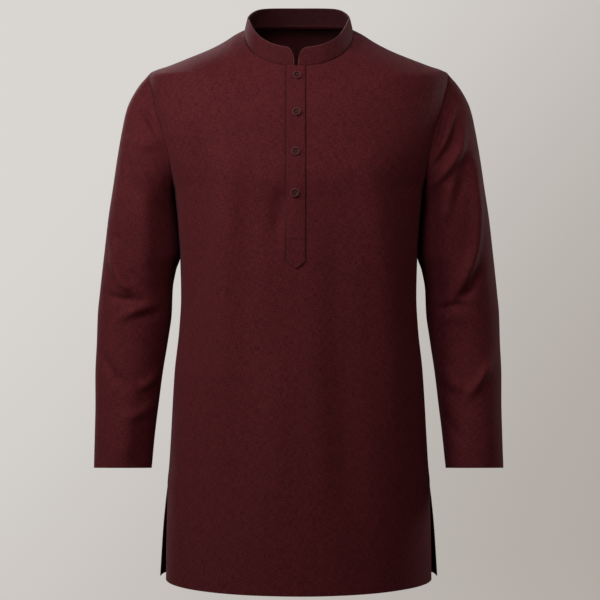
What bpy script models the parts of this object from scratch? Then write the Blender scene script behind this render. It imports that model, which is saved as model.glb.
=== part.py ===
"""Short kurta tunic: band collar, half placket with four buttons, long set-in sleeves and side slits."""
import math
from collections import namedtuple

import bmesh
import bpy
import numpy as np
from mathutils import Matrix, Vector

# Metres. The origin is midway between the two points where the collar meets the shoulder seams.
# +X is the wearer's left, -Y the front, +Z up.

# Cloth and seams
CLOTH = 0.0014
COLLAR_CLOTH = 0.0022
SEAM_GAP = 0.0003
HALF_GAP = SEAM_GAP / 2

# Levels of the body, from the shoulder points of the neck downwards
ARMPIT_LEVEL = -0.245
SLIT_TOP = -0.696
HEM_LEVEL = -0.842
SHOULDER_LEVEL = -0.065
SHOULDER_HALF = 0.229

# Neckline
NECK_HALF = 0.0835
FRONT_NECK_DROP = 0.0275
BACK_NECK_DROP = 0.0124
NECK_TILT = 0.45
SHOULDER_TILT = 0.25
TILT_FULL_HALF = 0.06
TILT_FADE_WIDTH = 0.10
TILT_FADE_DEPTH = 0.1325

# Collar
COLLAR_HEIGHT = 0.0283
COLLAR_LEAN = 0.0055
COLLAR_CORNER = 0.009
COLLAR_CORNER_STEPS = (0.0, 0.0012, 0.0032, 0.0058, 0.009)
COLLAR_ROWS = 4
COLLAR_SIDE_DIP = 0.0095
COLLAR_DIP_DEPTH = 0.004
COLLAR_DIP_FRONT = 0.022
COLLAR_DIP_BACK = 0.030

# Placket: a strip on the front opening, with a second strip behind it
PLACKET_LEFT = -0.018
PLACKET_RIGHT = 0.010
OPENING_LEFT = -0.0067
OPENING_RIGHT = -0.0007
OPENING_END = -0.322
PLACKET_SIDE_END = -0.359
PLACKET_TIP = -0.370
PLACKET_CLOTH = 0.0016
UNDER_PLACKET_CLOTH = 0.0012
UNDER_PLACKET_END = -0.335
PLACKET_TOP_DROP = 0.0006

# Buttons
BUTTON_RADIUS = 0.006
BUTTON_THICKNESS = 0.0026
BUTTON_DISH_RADIUS = 0.0042
BUTTON_DISH_DEPTH = 0.0009
BUTTON_HOLE_RADIUS = 0.00075
BUTTON_HOLE_SPACING = 0.0013
BUTTON_SIDES = 20
HOLE_SIDES = 6

# Mesh steps
NECK_COLUMNS = 9
SHOULDER_COLUMNS = 6
ARMHOLE_ROWS = 13
SLEEVE_RINGS = 28

# One row for each level of the body above the slits: half width at the sides, depth of front and back,
# and the roundness of its ring, where 2 is an ellipse and more is squarer
BodyLevel = namedtuple("BodyLevel", "level half_width front_depth back_depth roundness")
BODY_LEVELS = [
    BodyLevel(0.000, 0.0835, 0.0400, 0.0450, 2.30),
    BodyLevel(-0.008, 0.1000, 0.0550, 0.0660, 2.30),
    BodyLevel(-0.017, 0.1145, 0.0740, 0.0780, 2.30),
    BodyLevel(-0.0275, 0.1345, 0.0900, 0.0890, 2.31),
    BodyLevel(-0.043, 0.1720, 0.0968, 0.0975, 2.33),
    BodyLevel(-0.055, 0.2030, 0.1003, 0.1015, 2.35),
    BodyLevel(-0.065, 0.2290, 0.1030, 0.1045, 2.38),
    BodyLevel(-0.075, 0.2296, 0.1055, 0.1070, 2.40),
    BodyLevel(-0.100, 0.2272, 0.1105, 0.1125, 2.46),
    BodyLevel(-0.130, 0.2243, 0.1160, 0.1170, 2.52),
    BodyLevel(-0.155, 0.2201, 0.1205, 0.1195, 2.56),
    BodyLevel(-0.180, 0.2138, 0.1245, 0.1210, 2.59),
    BodyLevel(-0.210, 0.2046, 0.1280, 0.1215, 2.60),
    BodyLevel(-0.235, 0.1957, 0.1300, 0.1208, 2.58),
    BodyLevel(-0.245, 0.1915, 0.1305, 0.1203, 2.57),
    BodyLevel(-0.313, 0.1845, 0.1335, 0.1155, 2.45),
    BodyLevel(-0.347, 0.1826, 0.1345, 0.1130, 2.38),
    BodyLevel(-0.410, 0.1812, 0.1355, 0.1110, 2.27),
    BodyLevel(-0.461, 0.1838, 0.1370, 0.1125, 2.19),
    BodyLevel(-0.520, 0.1900, 0.1390, 0.1170, 2.12),
    BodyLevel(-0.575, 0.1936, 0.1408, 0.1215, 2.08),
    BodyLevel(-0.616, 0.1959, 0.1422, 0.1245, 2.06),
    BodyLevel(-0.668, 0.1992, 0.1438, 0.1285, 2.03),
    BodyLevel(SLIT_TOP, 0.2018, 0.1446, 0.1305, 2.02),
]

# One row for each level along the slits: the free edge of each panel stands off the side line
SlitLevel = namedtuple("SlitLevel", "level front_half front_edge front_depth back_half back_edge back_depth")
SLIT_LEVELS = [
    SlitLevel(-0.725, 0.2020, 0.0030, 0.1453, 0.2055, 0.0030, 0.1325),
    SlitLevel(-0.767, 0.2028, 0.0060, 0.1464, 0.2097, 0.0060, 0.1355),
    SlitLevel(-0.807, 0.2034, 0.0072, 0.1473, 0.2125, 0.0080, 0.1380),
    SlitLevel(HEM_LEVEL, 0.2038, 0.0080, 0.1480, 0.2147, 0.0090, 0.1400),
]

# Armhole edge of the panels, from the armpit up to the shoulder point
ArmholePoint = namedtuple("ArmholePoint", "level half_width")
ARMHOLE = [
    ArmholePoint(ARMPIT_LEVEL, 0.1915),
    ArmholePoint(-0.235, 0.1902),
    ArmholePoint(-0.210, 0.1930),
    ArmholePoint(-0.180, 0.1995),
    ArmholePoint(-0.154, 0.2070),
    ArmholePoint(-0.129, 0.2150),
    ArmholePoint(-0.104, 0.2210),
    ArmholePoint(-0.078, 0.2275),
    ArmholePoint(SHOULDER_LEVEL, SHOULDER_HALF),
]

# Rows of the panels below the armpit: a stretch from one level to the next, and its number of rows
Stretch = namedtuple("Stretch", "bottom top rows")
LOWER_STRETCHES = [
    Stretch(HEM_LEVEL, SLIT_TOP, 4),
    Stretch(SLIT_TOP, OPENING_END, 8),
    Stretch(OPENING_END, ARMPIT_LEVEL, 2),
]

# Rings down the sleeve: its outer and inner points seen from the front, and its depth
SleeveRing = namedtuple("SleeveRing", "outer_x outer_z inner_x inner_z half_depth centre_y cuff_tilt")
SLEEVE = [
    SleeveRing(0.2290, -0.065, 0.1915, -0.245, 0.066, 0.000, 0.0),
    SleeveRing(0.2470, -0.086, 0.1919, -0.247, 0.067, 0.000, 0.0),
    SleeveRing(0.2640, -0.119, 0.1921, -0.250, 0.068, 0.000, 0.0),
    SleeveRing(0.2720, -0.155, 0.1921, -0.254, 0.068, 0.000, 0.0),
    SleeveRing(0.2790, -0.195, 0.1910, -0.262, 0.067, 0.001, 0.0),
    SleeveRing(0.2860, -0.240, 0.1895, -0.275, 0.065, 0.002, 0.0),
    SleeveRing(0.2940, -0.290, 0.1869, -0.300, 0.064, 0.003, 0.0),
    SleeveRing(0.3000, -0.340, 0.1845, -0.342, 0.062, 0.005, 0.0),
    SleeveRing(0.3033, -0.3715, 0.1905, -0.370, 0.061, 0.005, 0.0),
    SleeveRing(0.3065, -0.404, 0.1954, -0.400, 0.059, 0.005, 0.0),
    SleeveRing(0.3092, -0.4365, 0.1965, -0.435, 0.057, 0.003, 0.0),
    SleeveRing(0.3100, -0.480, 0.2020, -0.478, 0.054, -0.001, 0.02),
    SleeveRing(0.3115, -0.528, 0.2092, -0.526, 0.052, -0.007, 0.05),
    SleeveRing(0.3108, -0.579, 0.2150, -0.577, 0.049, -0.014, 0.08),
    SleeveRing(0.3112, -0.618, 0.2195, -0.617, 0.047, -0.019, 0.11),
    SleeveRing(0.3120, -0.671, 0.2243, -0.671, 0.044, -0.025, 0.125),
]
ARMHOLE_FADE_RINGS = 6.0

# Largest folds of a sleeve, seen from the front or the back: a soft ridge (height above 0) or trough
Fold = namedtuple("Fold", "face x1 z1 x2 z2 x3 z3 width height")
RIGHT_SLEEVE_FOLDS = [
    Fold("front", 0.284, -0.334, 0.272, -0.375, 0.238, -0.420, 0.013, 0.0060),
    Fold("front", 0.270, -0.326, 0.262, -0.360, 0.236, -0.393, 0.012, -0.0055),
    Fold("front", 0.279, -0.408, 0.262, -0.411, 0.246, -0.411, 0.010, -0.0045),
    Fold("front", 0.287, -0.428, 0.262, -0.431, 0.238, -0.429, 0.013, 0.0045),
    Fold("front", 0.248, -0.440, 0.228, -0.441, 0.208, -0.436, 0.012, -0.0050),
    Fold("front", 0.289, -0.512, 0.279, -0.530, 0.262, -0.543, 0.012, -0.0035),
    Fold("back", 0.276, -0.330, 0.262, -0.372, 0.236, -0.398, 0.014, 0.0050),
    Fold("back", 0.268, -0.405, 0.248, -0.412, 0.226, -0.408, 0.012, -0.0050),
]
LEFT_SLEEVE_FOLDS = [
    Fold("front", 0.270, -0.262, 0.266, -0.340, 0.226, -0.408, 0.012, 0.0060),
    Fold("front", 0.284, -0.330, 0.270, -0.372, 0.236, -0.406, 0.012, -0.0060),
    Fold("front", 0.230, -0.423, 0.246, -0.425, 0.262, -0.422, 0.010, -0.0045),
    Fold("front", 0.224, -0.442, 0.248, -0.445, 0.272, -0.440, 0.013, 0.0045),
    Fold("front", 0.294, -0.518, 0.284, -0.538, 0.268, -0.553, 0.012, -0.0040),
    Fold("back", 0.280, -0.322, 0.268, -0.362, 0.240, -0.396, 0.014, 0.0050),
    Fold("back", 0.272, -0.404, 0.250, -0.410, 0.228, -0.405, 0.012, -0.0050),
]

# Buttons down the placket
ButtonPlace = namedtuple("ButtonPlace", "name x z")
BUTTONS = [
    ButtonPlace("button_1", -0.0024, -0.0840),
    ButtonPlace("button_2", -0.0031, -0.1406),
    ButtonPlace("button_3", -0.0043, -0.1990),
    ButtonPlace("button_4", -0.0056, -0.2600),
]

# Colours as red, green, blue in linear light
MAROON = (0.095, 0.018, 0.024)
COLLAR_MAROON = (0.085, 0.016, 0.021)
BUTTON_BROWN = (0.070, 0.016, 0.016)
CLOTH_ROUGHNESS = 0.85
BUTTON_ROUGHNESS = 0.35

Face = namedtuple("Face", "side neck_drop centre_columns")
FRONT = Face(-1, FRONT_NECK_DROP, (PLACKET_LEFT, OPENING_LEFT, OPENING_RIGHT, PLACKET_RIGHT))
BACK = Face(1, BACK_NECK_DROP, (0.0,))


def fade(value):
    """Smooth step from 1 at 0 to 0 at 1."""
    t = min(max(value, 0.0), 1.0)
    return 1.0 - t * t * (3.0 - 2.0 * t)


def smooth_curve(places, values):
    """A smooth curve through the rows of a table that never swings past them."""
    order = np.argsort(places)
    x = np.array(places, dtype=float)[order]
    y = np.array(values, dtype=float)[order]
    step = np.diff(x)
    rise = np.diff(y) / step
    slope = np.zeros(len(x))
    slope[0] = rise[0]
    slope[-1] = rise[-1]
    for i in range(1, len(x) - 1):
        if rise[i - 1] * rise[i] > 0.0:
            slope[i] = 2.0 * rise[i - 1] * rise[i] / (rise[i - 1] + rise[i])

    def value(place):
        place = min(max(place, x[0]), x[-1])
        i = min(int(np.searchsorted(x, place, side="right")) - 1, len(step) - 1)
        t = (place - x[i]) / step[i]
        start = y[i] * (1 + 2 * t) * (1 - t) ** 2 + y[i + 1] * t * t * (3 - 2 * t)
        bend = slope[i] * t * (1 - t) ** 2 - slope[i + 1] * t * t * (1 - t)
        return start + step[i] * bend

    return value


def level_curves(face):
    """Half width, depth and stand-off of the free edge of one face of the body, by level."""
    levels = [row.level for row in BODY_LEVELS] + [row.level for row in SLIT_LEVELS]
    upper_half = [row.half_width for row in BODY_LEVELS]
    closed = [0.0] * len(BODY_LEVELS)
    if face is FRONT:
        half = upper_half + [row.front_half for row in SLIT_LEVELS]
        depth = [row.front_depth for row in BODY_LEVELS] + [row.front_depth for row in SLIT_LEVELS]
        edge = closed + [row.front_edge for row in SLIT_LEVELS]
    else:
        half = upper_half + [row.back_half for row in SLIT_LEVELS]
        depth = [row.back_depth for row in BODY_LEVELS] + [row.back_depth for row in SLIT_LEVELS]
        edge = closed + [row.back_edge for row in SLIT_LEVELS]
    return smooth_curve(levels, half), smooth_curve(levels, depth), smooth_curve(levels, edge)


CURVES = {FRONT: level_curves(FRONT), BACK: level_curves(BACK)}
ring_roundness = smooth_curve([row.level for row in BODY_LEVELS], [row.roundness for row in BODY_LEVELS])
armhole_half = smooth_curve([row.level for row in ARMHOLE], [row.half_width for row in ARMHOLE])


def neck_tilt(x, level):
    """How much the cloth drops forwards and rises backwards around the neck and over the shoulders."""
    across = fade((abs(x) - TILT_FULL_HALF) / TILT_FADE_WIDTH)
    down = fade((-level - FRONT_NECK_DROP) / TILT_FADE_DEPTH)
    return (SHOULDER_TILT + (NECK_TILT - SHOULDER_TILT) * across) * down


def body_point(face, x, level):
    """Point on the outside of the body, x from the centre, on the ring of one level."""
    half_curve, depth_curve, edge_curve = CURVES[face]
    roundness = ring_roundness(level)
    half = half_curve(level)
    edge = edge_curve(level) + HALF_GAP
    across = min(abs(x) / half, 1.0)
    bow = max(1.0 - across ** roundness, 0.0) ** (1.0 / roundness)
    y = face.side * (edge + (depth_curve(level) - edge) * bow)
    return np.array((x, y, level + y * neck_tilt(x, level)))


def even_points(start, end, make_point, count, fine=160):
    """Parameters from start to end that part the curve of make_point into equal lengths."""
    parameters = np.linspace(start, end, fine + 1)
    points = np.array([make_point(p) for p in parameters])
    lengths = np.linalg.norm(np.diff(points, axis=0), axis=1)
    travelled = np.concatenate(([0.0], np.cumsum(lengths)))
    wanted = np.linspace(0.0, travelled[-1], count + 1)
    return np.interp(wanted, travelled, parameters)


def ring_half(face, level, start_x, side):
    """x of the columns at one level, from the centre column out to the side seam."""
    half = CURVES[face][0](level)
    count = NECK_COLUMNS + SHOULDER_COLUMNS
    start = math.asin(min(abs(start_x) / half, 1.0)) * (1 if start_x * side >= 0 else -1)

    def point(angle):
        return body_point(face, side * half * math.sin(angle), level)

    angles = even_points(start, math.pi / 2, point, count)
    return [side * half * math.sin(angle) for angle in angles]


def neckline_place(face, angle):
    """x and level of the neckline, by the angle round from the centre."""
    return NECK_HALF * math.sin(angle), -face.neck_drop * math.cos(angle)


def shoulder_place(level):
    """x and level of the shoulder seam."""
    return CURVES[FRONT][0](level), level


def top_half(face, start_x, side):
    """x and level of the columns along the neckline and then the shoulder seam."""
    start = math.asin(start_x * side / NECK_HALF)

    def neck_point(angle):
        x, level = neckline_place(face, angle)
        return body_point(face, x * side, level)

    def shoulder_point(level):
        return body_point(face, shoulder_place(level)[0] * side, level)

    angles = even_points(start, math.pi / 2, neck_point, NECK_COLUMNS)
    levels = even_points(0.0, SHOULDER_LEVEL, shoulder_point, SHOULDER_COLUMNS)
    places = [neckline_place(face, angle) for angle in angles]
    places += [shoulder_place(level) for level in levels[1:]]
    return [(x * side, level) for x, level in places]


def upper_half(face, start_x, side, rise):
    """x and level of the columns between the armpit line and the top, at one share of the rise."""
    bottom = ring_half(face, ARMPIT_LEVEL, start_x, side)
    top = top_half(face, start_x, side)
    count = len(bottom) - 1
    armhole_level = ARMPIT_LEVEL + (SHOULDER_LEVEL - ARMPIT_LEVEL) * rise
    armhole_x = side * armhole_half(armhole_level)
    edge_x = bottom[-1] + (top[-1][0] - bottom[-1]) * rise
    places = []
    for j in range(count + 1):
        pull = (j / count) ** 3
        x = bottom[j] + (top[j][0] - bottom[j]) * rise + pull * (armhole_x - edge_x)
        level = ARMPIT_LEVEL + (top[j][1] - ARMPIT_LEVEL) * rise
        places.append((x, level))
    return places


def panel_levels():
    """Levels of the rows from the hem up to the armpit."""
    levels = [HEM_LEVEL]
    for stretch in LOWER_STRETCHES:
        for i in range(1, stretch.rows + 1):
            levels.append(stretch.bottom + (stretch.top - stretch.bottom) * i / stretch.rows)
    return levels


def panel_grid(face):
    """Outside points of the front or back, rows from the hem up, columns from -X to +X."""
    left_start, right_start = face.centre_columns[0], face.centre_columns[-1]
    inner_columns = face.centre_columns[1:-1]
    rows = []
    for level in panel_levels():
        left = [(x, level) for x in ring_half(face, level, left_start, -1)]
        right = [(x, level) for x in ring_half(face, level, right_start, 1)]
        rows.append((left, [(x, level) for x in inner_columns], right))
    for k in range(1, ARMHOLE_ROWS + 1):
        rise = 0.5 * (1.0 - math.cos(math.pi * k / ARMHOLE_ROWS))
        left = upper_half(face, left_start, -1, rise)
        right = upper_half(face, right_start, 1, rise)
        middle = []
        for x in inner_columns:
            top_level = neckline_place(face, math.asin(x / NECK_HALF))[1]
            middle.append((x, ARMPIT_LEVEL + (top_level - ARMPIT_LEVEL) * rise))
        rows.append((left, middle, right))
    grid = []
    for left, middle, right in rows:
        places = left[::-1] + middle + (right if len(face.centre_columns) > 1 else right[1:])
        grid.append([body_point(face, x, level) for x, level in places])
    return np.array(grid)


def grid_normals(grid):
    """Unit normals of a grid, pointing to its outside."""
    along = np.gradient(grid, axis=1)
    up = np.gradient(grid, axis=0)
    normals = np.cross(along, up)
    return normals / np.linalg.norm(normals, axis=2, keepdims=True)


def new_material(name, colour, roughness):
    material = bpy.data.materials.new(name)
    material.use_nodes = True
    shader = material.node_tree.nodes["Principled BSDF"]
    shader.inputs["Base Color"].default_value = (*colour, 1.0)
    shader.inputs["Roughness"].default_value = roughness
    shader.inputs["Metallic"].default_value = 0.0
    return material


def add_object(name, mesh, colour, roughness):
    """Put a mesh in the garment's collection with its own material."""
    part = bpy.data.objects.new(name, mesh)
    mesh.materials.clear()
    mesh.materials.append(new_material(name + "_material", colour, roughness))
    GARMENT.objects.link(part)
    return part


def open_surface(name, grid, closed=False, left_out=()):
    """Mesh of quads on a grid of points; a closed one joins its last column to its first."""
    rows, columns = grid.shape[:2]
    wrap = columns if closed else columns - 1
    quads = []
    for i in range(rows - 1):
        for j in range(wrap):
            if (i, j) in left_out:
                continue
            k = (j + 1) % columns
            quads.append((i * columns + j, i * columns + k, (i + 1) * columns + k, (i + 1) * columns + j))
    mesh = bpy.data.meshes.new(name)
    mesh.from_pydata([tuple(point) for point in grid.reshape(-1, 3)], [], quads)
    mesh.update()
    return mesh


def cloth_wall(name, mesh, thickness, colour, seams=(), outwards=False):
    """Give an open surface its thickness. Each seam is a point, an axis and the side to stay on."""
    part = add_object(name, mesh, colour, CLOTH_ROUGHNESS)
    wall = part.modifiers.new("Wall", "SOLIDIFY")
    wall.thickness = thickness
    wall.offset = 1.0 if outwards else -1.0
    wall.use_even_offset = True
    wall.use_rim = True
    outer_count = len(mesh.vertices)
    evaluated = part.evaluated_get(bpy.context.evaluated_depsgraph_get())
    solid = bpy.data.meshes.new_from_object(evaluated)
    part.modifiers.clear()
    part.data = solid
    for index, axis, side in seams:
        outer = solid.vertices[index].co
        inner = solid.vertices[index + outer_count]
        through = inner.co - outer
        if through[axis] * side < 0.0:
            through[axis] = 0.0
            inner.co = outer + through.normalized() * thickness
    solid.shade_smooth()
    solid.set_sharp_from_angle(angle=math.radians(50.0))
    return part


def panel_seams(grid, face):
    """Edge points of a panel that keep to their side: side and shoulder seams in y, armholes in x."""
    rows, columns = grid.shape[:2]
    armpit_row = rows - 1 - ARMHOLE_ROWS
    seams = []
    for i in range(rows):
        for j in (0, columns - 1):
            if grid[i, j, 2] > SLIT_TOP and i <= armpit_row:
                seams.append((i * columns + j, 1, face.side))
            if i >= armpit_row:
                seams.append((i * columns + j, 0, -np.sign(grid[i, j, 0])))
    for j in range(columns):
        if j <= SHOULDER_COLUMNS or j >= columns - 1 - SHOULDER_COLUMNS:
            seams.append(((rows - 1) * columns + j, 1, face.side))
    return seams


def make_panel(name, grid, face, left_out=()):
    """Front or back of the body. Its armhole edges stop half a seam gap short of the sleeves."""
    shaped = grid.copy()
    armpit_row = grid.shape[0] - 1 - ARMHOLE_ROWS
    shaped[armpit_row:, 0, 0] += HALF_GAP
    shaped[armpit_row:, -1, 0] -= HALF_GAP
    if face is BACK:
        shaped = shaped[:, ::-1]
    mesh = open_surface(name, shaped, left_out=left_out)
    return cloth_wall(name, mesh, CLOTH, MAROON, panel_seams(shaped, face))


def opening_quads(grid):
    """Quads of the front opening: those between its two centre columns, above its lower end."""
    left = NECK_COLUMNS + SHOULDER_COLUMNS + 1
    quads = set()
    for i in range(grid.shape[0] - 1):
        if grid[i, left, 2] > OPENING_END - SEAM_GAP:
            quads.add((i, left))
    return quads


def armhole_loop(front, back, side):
    """Points round one armhole: shoulder point, down the front edge, armpit, up the back edge."""
    column = -1 if side > 0 else 0
    front_edge = front[-1 - ARMHOLE_ROWS:, column][::-1]
    back_edge = back[-1 - ARMHOLE_ROWS:, column]
    loop = np.concatenate((front_edge, back_edge[1:-1]))
    loop[0, 1] = 0.0
    loop[ARMHOLE_ROWS, 1] = 0.0
    return loop


def fold_height(folds, face, x, z):
    """Height of all the folds of one face at one place of the sleeve, seen from the front."""
    height = 0.0
    for fold in folds:
        if fold.face != face:
            continue
        nearest = 1.0
        for t in np.linspace(0.0, 1.0, 17):
            fold_x = fold.x1 * (1 - t) ** 2 + 2 * fold.x2 * t * (1 - t) + fold.x3 * t * t
            fold_z = fold.z1 * (1 - t) ** 2 + 2 * fold.z2 * t * (1 - t) + fold.z3 * t * t
            nearest = min(nearest, math.hypot(x - fold_x, z - fold_z))
        height += fold.height * math.exp(-((nearest / fold.width) ** 2))
    return height


def sleeve_grid(loop, side, folds):
    """Rings of one sleeve from the armhole down to the cuff, points round from the outer side."""
    columns = len(loop)
    stations = list(range(len(SLEEVE)))
    curves = {}
    for field in SleeveRing._fields:
        curves[field] = smooth_curve(stations, [getattr(ring, field) for ring in SLEEVE])
    rings = []
    for i in range(SLEEVE_RINGS + 1):
        station = (len(SLEEVE) - 1) * i / SLEEVE_RINGS
        value = {field: curve(station) for field, curve in curves.items()}
        middle_x = (value["outer_x"] + value["inner_x"]) / 2
        middle_z = (value["outer_z"] + value["inner_z"]) / 2
        reach_x = (value["outer_x"] - value["inner_x"]) / 2
        reach_z = (value["outer_z"] - value["inner_z"]) / 2
        first = SLEEVE[0]
        pull = fade(station / ARMHOLE_FADE_RINGS)
        ring = []
        for j in range(columns):
            angle = 2 * math.pi * j / columns
            depth = -math.sin(angle)
            x = middle_x + reach_x * math.cos(angle)
            z = middle_z + reach_z * math.cos(angle) - value["cuff_tilt"] * value["half_depth"] * depth
            y = value["centre_y"] + value["half_depth"] * depth
            face = "front" if depth < 0 else "back"
            swell = fold_height(folds, face, x, z) * abs(depth)
            y += swell * depth
            x += 0.4 * swell * math.cos(angle)
            first_x = (first.outer_x + first.inner_x) / 2 + (first.outer_x - first.inner_x) / 2 * math.cos(angle)
            first_z = (first.outer_z + first.inner_z) / 2 + (first.outer_z - first.inner_z) / 2 * math.cos(angle)
            x += pull * (abs(loop[j, 0]) - first_x)
            y += pull * (loop[j, 1] - first.half_depth * depth)
            z += pull * (loop[j, 2] - first_z)
            if i == 0:
                x += HALF_GAP
            ring.append((side * x, y, z))
        rings.append(ring)
    return np.array(rings)


def make_sleeve(name, loop, side, folds):
    grid = sleeve_grid(loop, side, folds)
    if side < 0:
        grid = grid[:, ::-1]
    mesh = open_surface(name, grid, closed=True)
    seams = [(j, 0, side) for j in range(grid.shape[1])]
    return cloth_wall(name, mesh, CLOTH, MAROON, seams)


def neck_seam(front, back):
    """Points along the neck seam, from the opening round the wearer's left side to the opening again."""
    right_edge = NECK_COLUMNS + SHOULDER_COLUMNS + 2
    top_front = front[-1]
    top_back = back[-1]
    left_neck = top_front[right_edge:right_edge + NECK_COLUMNS + 2]
    right_neck = top_front[SHOULDER_COLUMNS:SHOULDER_COLUMNS + NECK_COLUMNS + 2]
    behind = top_back[SHOULDER_COLUMNS + 1:-1 - SHOULDER_COLUMNS][::-1]
    points = np.concatenate((left_neck, behind, right_neck))
    neck_sides = np.abs(points[:, 1]) < SEAM_GAP
    points[neck_sides, 1] = 0.0
    return points


def collar_dip(y):
    """How much lower the collar is cut near the sides of the neck, by the place from front to back."""
    reach = COLLAR_DIP_BACK if y > COLLAR_DIP_DEPTH else COLLAR_DIP_FRONT
    return COLLAR_SIDE_DIP * math.exp(-(((y - COLLAR_DIP_DEPTH) / reach) ** 2))


def collar_grid(seam):
    """Outside points of the collar: a band that rises from the neck seam, with rounded front corners."""
    lengths = np.linalg.norm(np.diff(seam, axis=0), axis=1)
    travelled = np.concatenate(([0.0], np.cumsum(lengths)))
    total = travelled[-1]
    places = list(COLLAR_CORNER_STEPS) + [total - step for step in COLLAR_CORNER_STEPS]
    places += [place for place in travelled if COLLAR_CORNER < place - 0.004 and place + 0.004 < total - COLLAR_CORNER]
    places = sorted(places)
    base = np.array([[np.interp(place, travelled, seam[:, axis]) for axis in range(3)] for place in places])
    tangents = np.gradient(base, axis=0)
    tangents[:, 2] = 0.0
    tangents /= np.linalg.norm(tangents, axis=1, keepdims=True)
    inward = np.stack((-tangents[:, 1], tangents[:, 0], np.zeros(len(base))), axis=1)
    rise = np.array((0.0, 0.0, 1.0)) + inward * COLLAR_LEAN / COLLAR_HEIGHT
    rise /= np.linalg.norm(rise, axis=1, keepdims=True)
    rows = []
    for i in range(COLLAR_ROWS + 1):
        row = []
        for j, place in enumerate(places):
            from_end = min(place, total - place)
            height = COLLAR_HEIGHT - collar_dip(base[j, 1])
            if from_end < COLLAR_CORNER:
                short = COLLAR_CORNER - from_end
                height -= COLLAR_CORNER - math.sqrt(COLLAR_CORNER ** 2 - short ** 2)
            row.append(base[j] + rise[j] * (SEAM_GAP + height * i / COLLAR_ROWS))
        rows.append(row)
    return np.array(rows)


def column_stretch(points, top_drop, end):
    """Points of one panel column from just under its top down to a lower end, moved onto its segments."""
    downwards = points[::-1]
    first = downwards[0] + (downwards[1] - downwards[0]) * top_drop / np.linalg.norm(downwards[1] - downwards[0])
    stretch = [first]
    for above, below in zip(downwards[1:-1], downwards[2:]):
        stretch.append(above)
        if below[2] < end:
            stretch.append(above + (below - above) * (above[2] - end) / (above[2] - below[2]))
            break
    return np.array(stretch)


def strip_grid(front, lift, side_end, middle_end):
    """A strip over or under the front opening, from the panel's own points, moved off along its normals."""
    lifted = front + grid_normals(front) * lift
    first = NECK_COLUMNS + SHOULDER_COLUMNS
    edges = [lifted[:, first + step] for step in range(4)]
    middle = (edges[1] + edges[2]) / 2
    columns = (edges[0], edges[1], middle, edges[2], edges[3])
    slant = (middle_end - side_end) / (middle[0, 0] - edges[0][0, 0])
    stretches = []
    for column in columns:
        from_side = min(column[0, 0] - edges[0][0, 0], edges[3][0, 0] - column[0, 0])
        stretches.append(column_stretch(column, PLACKET_TOP_DROP, side_end + slant * from_side))
    rows = min(len(stretch) for stretch in stretches)
    ends = [np.concatenate((stretch[:rows - 1], stretch[-1:])) for stretch in stretches]
    return np.array(ends).transpose(1, 0, 2)[::-1]


def strip_place(grid, x, z):
    """Point and outward normal on a strip's surface at x and z."""
    normals = grid_normals(grid)
    for i in range(grid.shape[0] - 1):
        if grid[i, 0, 2] <= z <= grid[i + 1, 0, 2]:
            share = (z - grid[i, 0, 2]) / (grid[i + 1, 0, 2] - grid[i, 0, 2])
            row = grid[i] + (grid[i + 1] - grid[i]) * share
            row_normals = normals[i] + (normals[i + 1] - normals[i]) * share
            point = np.array([np.interp(x, row[:, 0], row[:, axis]) for axis in range(3)])
            normal = np.array([np.interp(x, row[:, 0], row_normals[:, axis]) for axis in range(3)])
            return point, normal / np.linalg.norm(normal)
    raise ValueError("no strip at this height")


def button_mesh():
    """Round button with a raised rim, a dished middle and four holes, its back on the plane z = 0."""
    profile = [
        (0.0, 0.0),
        (BUTTON_RADIUS * 0.82, 0.0),
        (BUTTON_RADIUS, BUTTON_THICKNESS * 0.35),
        (BUTTON_RADIUS, BUTTON_THICKNESS * 0.70),
        (BUTTON_RADIUS * 0.88, BUTTON_THICKNESS),
        (BUTTON_DISH_RADIUS, BUTTON_THICKNESS * 0.92),
        (BUTTON_DISH_RADIUS * 0.75, BUTTON_THICKNESS - BUTTON_DISH_DEPTH),
        (0.0, BUTTON_THICKNESS - BUTTON_DISH_DEPTH),
    ]
    mesh = bpy.data.meshes.new("button")
    edges = [(i, i + 1) for i in range(len(profile) - 1)]
    mesh.from_pydata([(radius, 0.0, height) for radius, height in profile[::-1]], edges, [])
    turned = bpy.data.objects.new("button_turned", mesh)
    bpy.context.scene.collection.objects.link(turned)
    screw = turned.modifiers.new("Turn", "SCREW")
    screw.steps = BUTTON_SIDES
    screw.render_steps = BUTTON_SIDES
    screw.use_merge_vertices = True
    screw.merge_threshold = 0.00005
    holes = bmesh.new()
    for i in range(4):
        angle = math.radians(45.0 + 90.0 * i)
        place = Matrix.Translation((BUTTON_HOLE_SPACING * math.cos(angle), BUTTON_HOLE_SPACING * math.sin(angle), 0.0))
        bmesh.ops.create_cone(
            holes, cap_ends=True, segments=HOLE_SIDES, radius1=BUTTON_HOLE_RADIUS,
            radius2=BUTTON_HOLE_RADIUS, depth=BUTTON_THICKNESS * 4, matrix=place,
        )
    hole_mesh = bpy.data.meshes.new("button_holes")
    holes.to_mesh(hole_mesh)
    holes.free()
    cutter = bpy.data.objects.new("button_holes", hole_mesh)
    bpy.context.scene.collection.objects.link(cutter)
    cut = turned.modifiers.new("Holes", "BOOLEAN")
    cut.object = cutter
    cut.operation = "DIFFERENCE"
    cut.solver = "EXACT"
    evaluated = turned.evaluated_get(bpy.context.evaluated_depsgraph_get())
    finished = bpy.data.meshes.new_from_object(evaluated)
    bpy.data.objects.remove(turned)
    bpy.data.objects.remove(cutter)
    return finished


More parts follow.
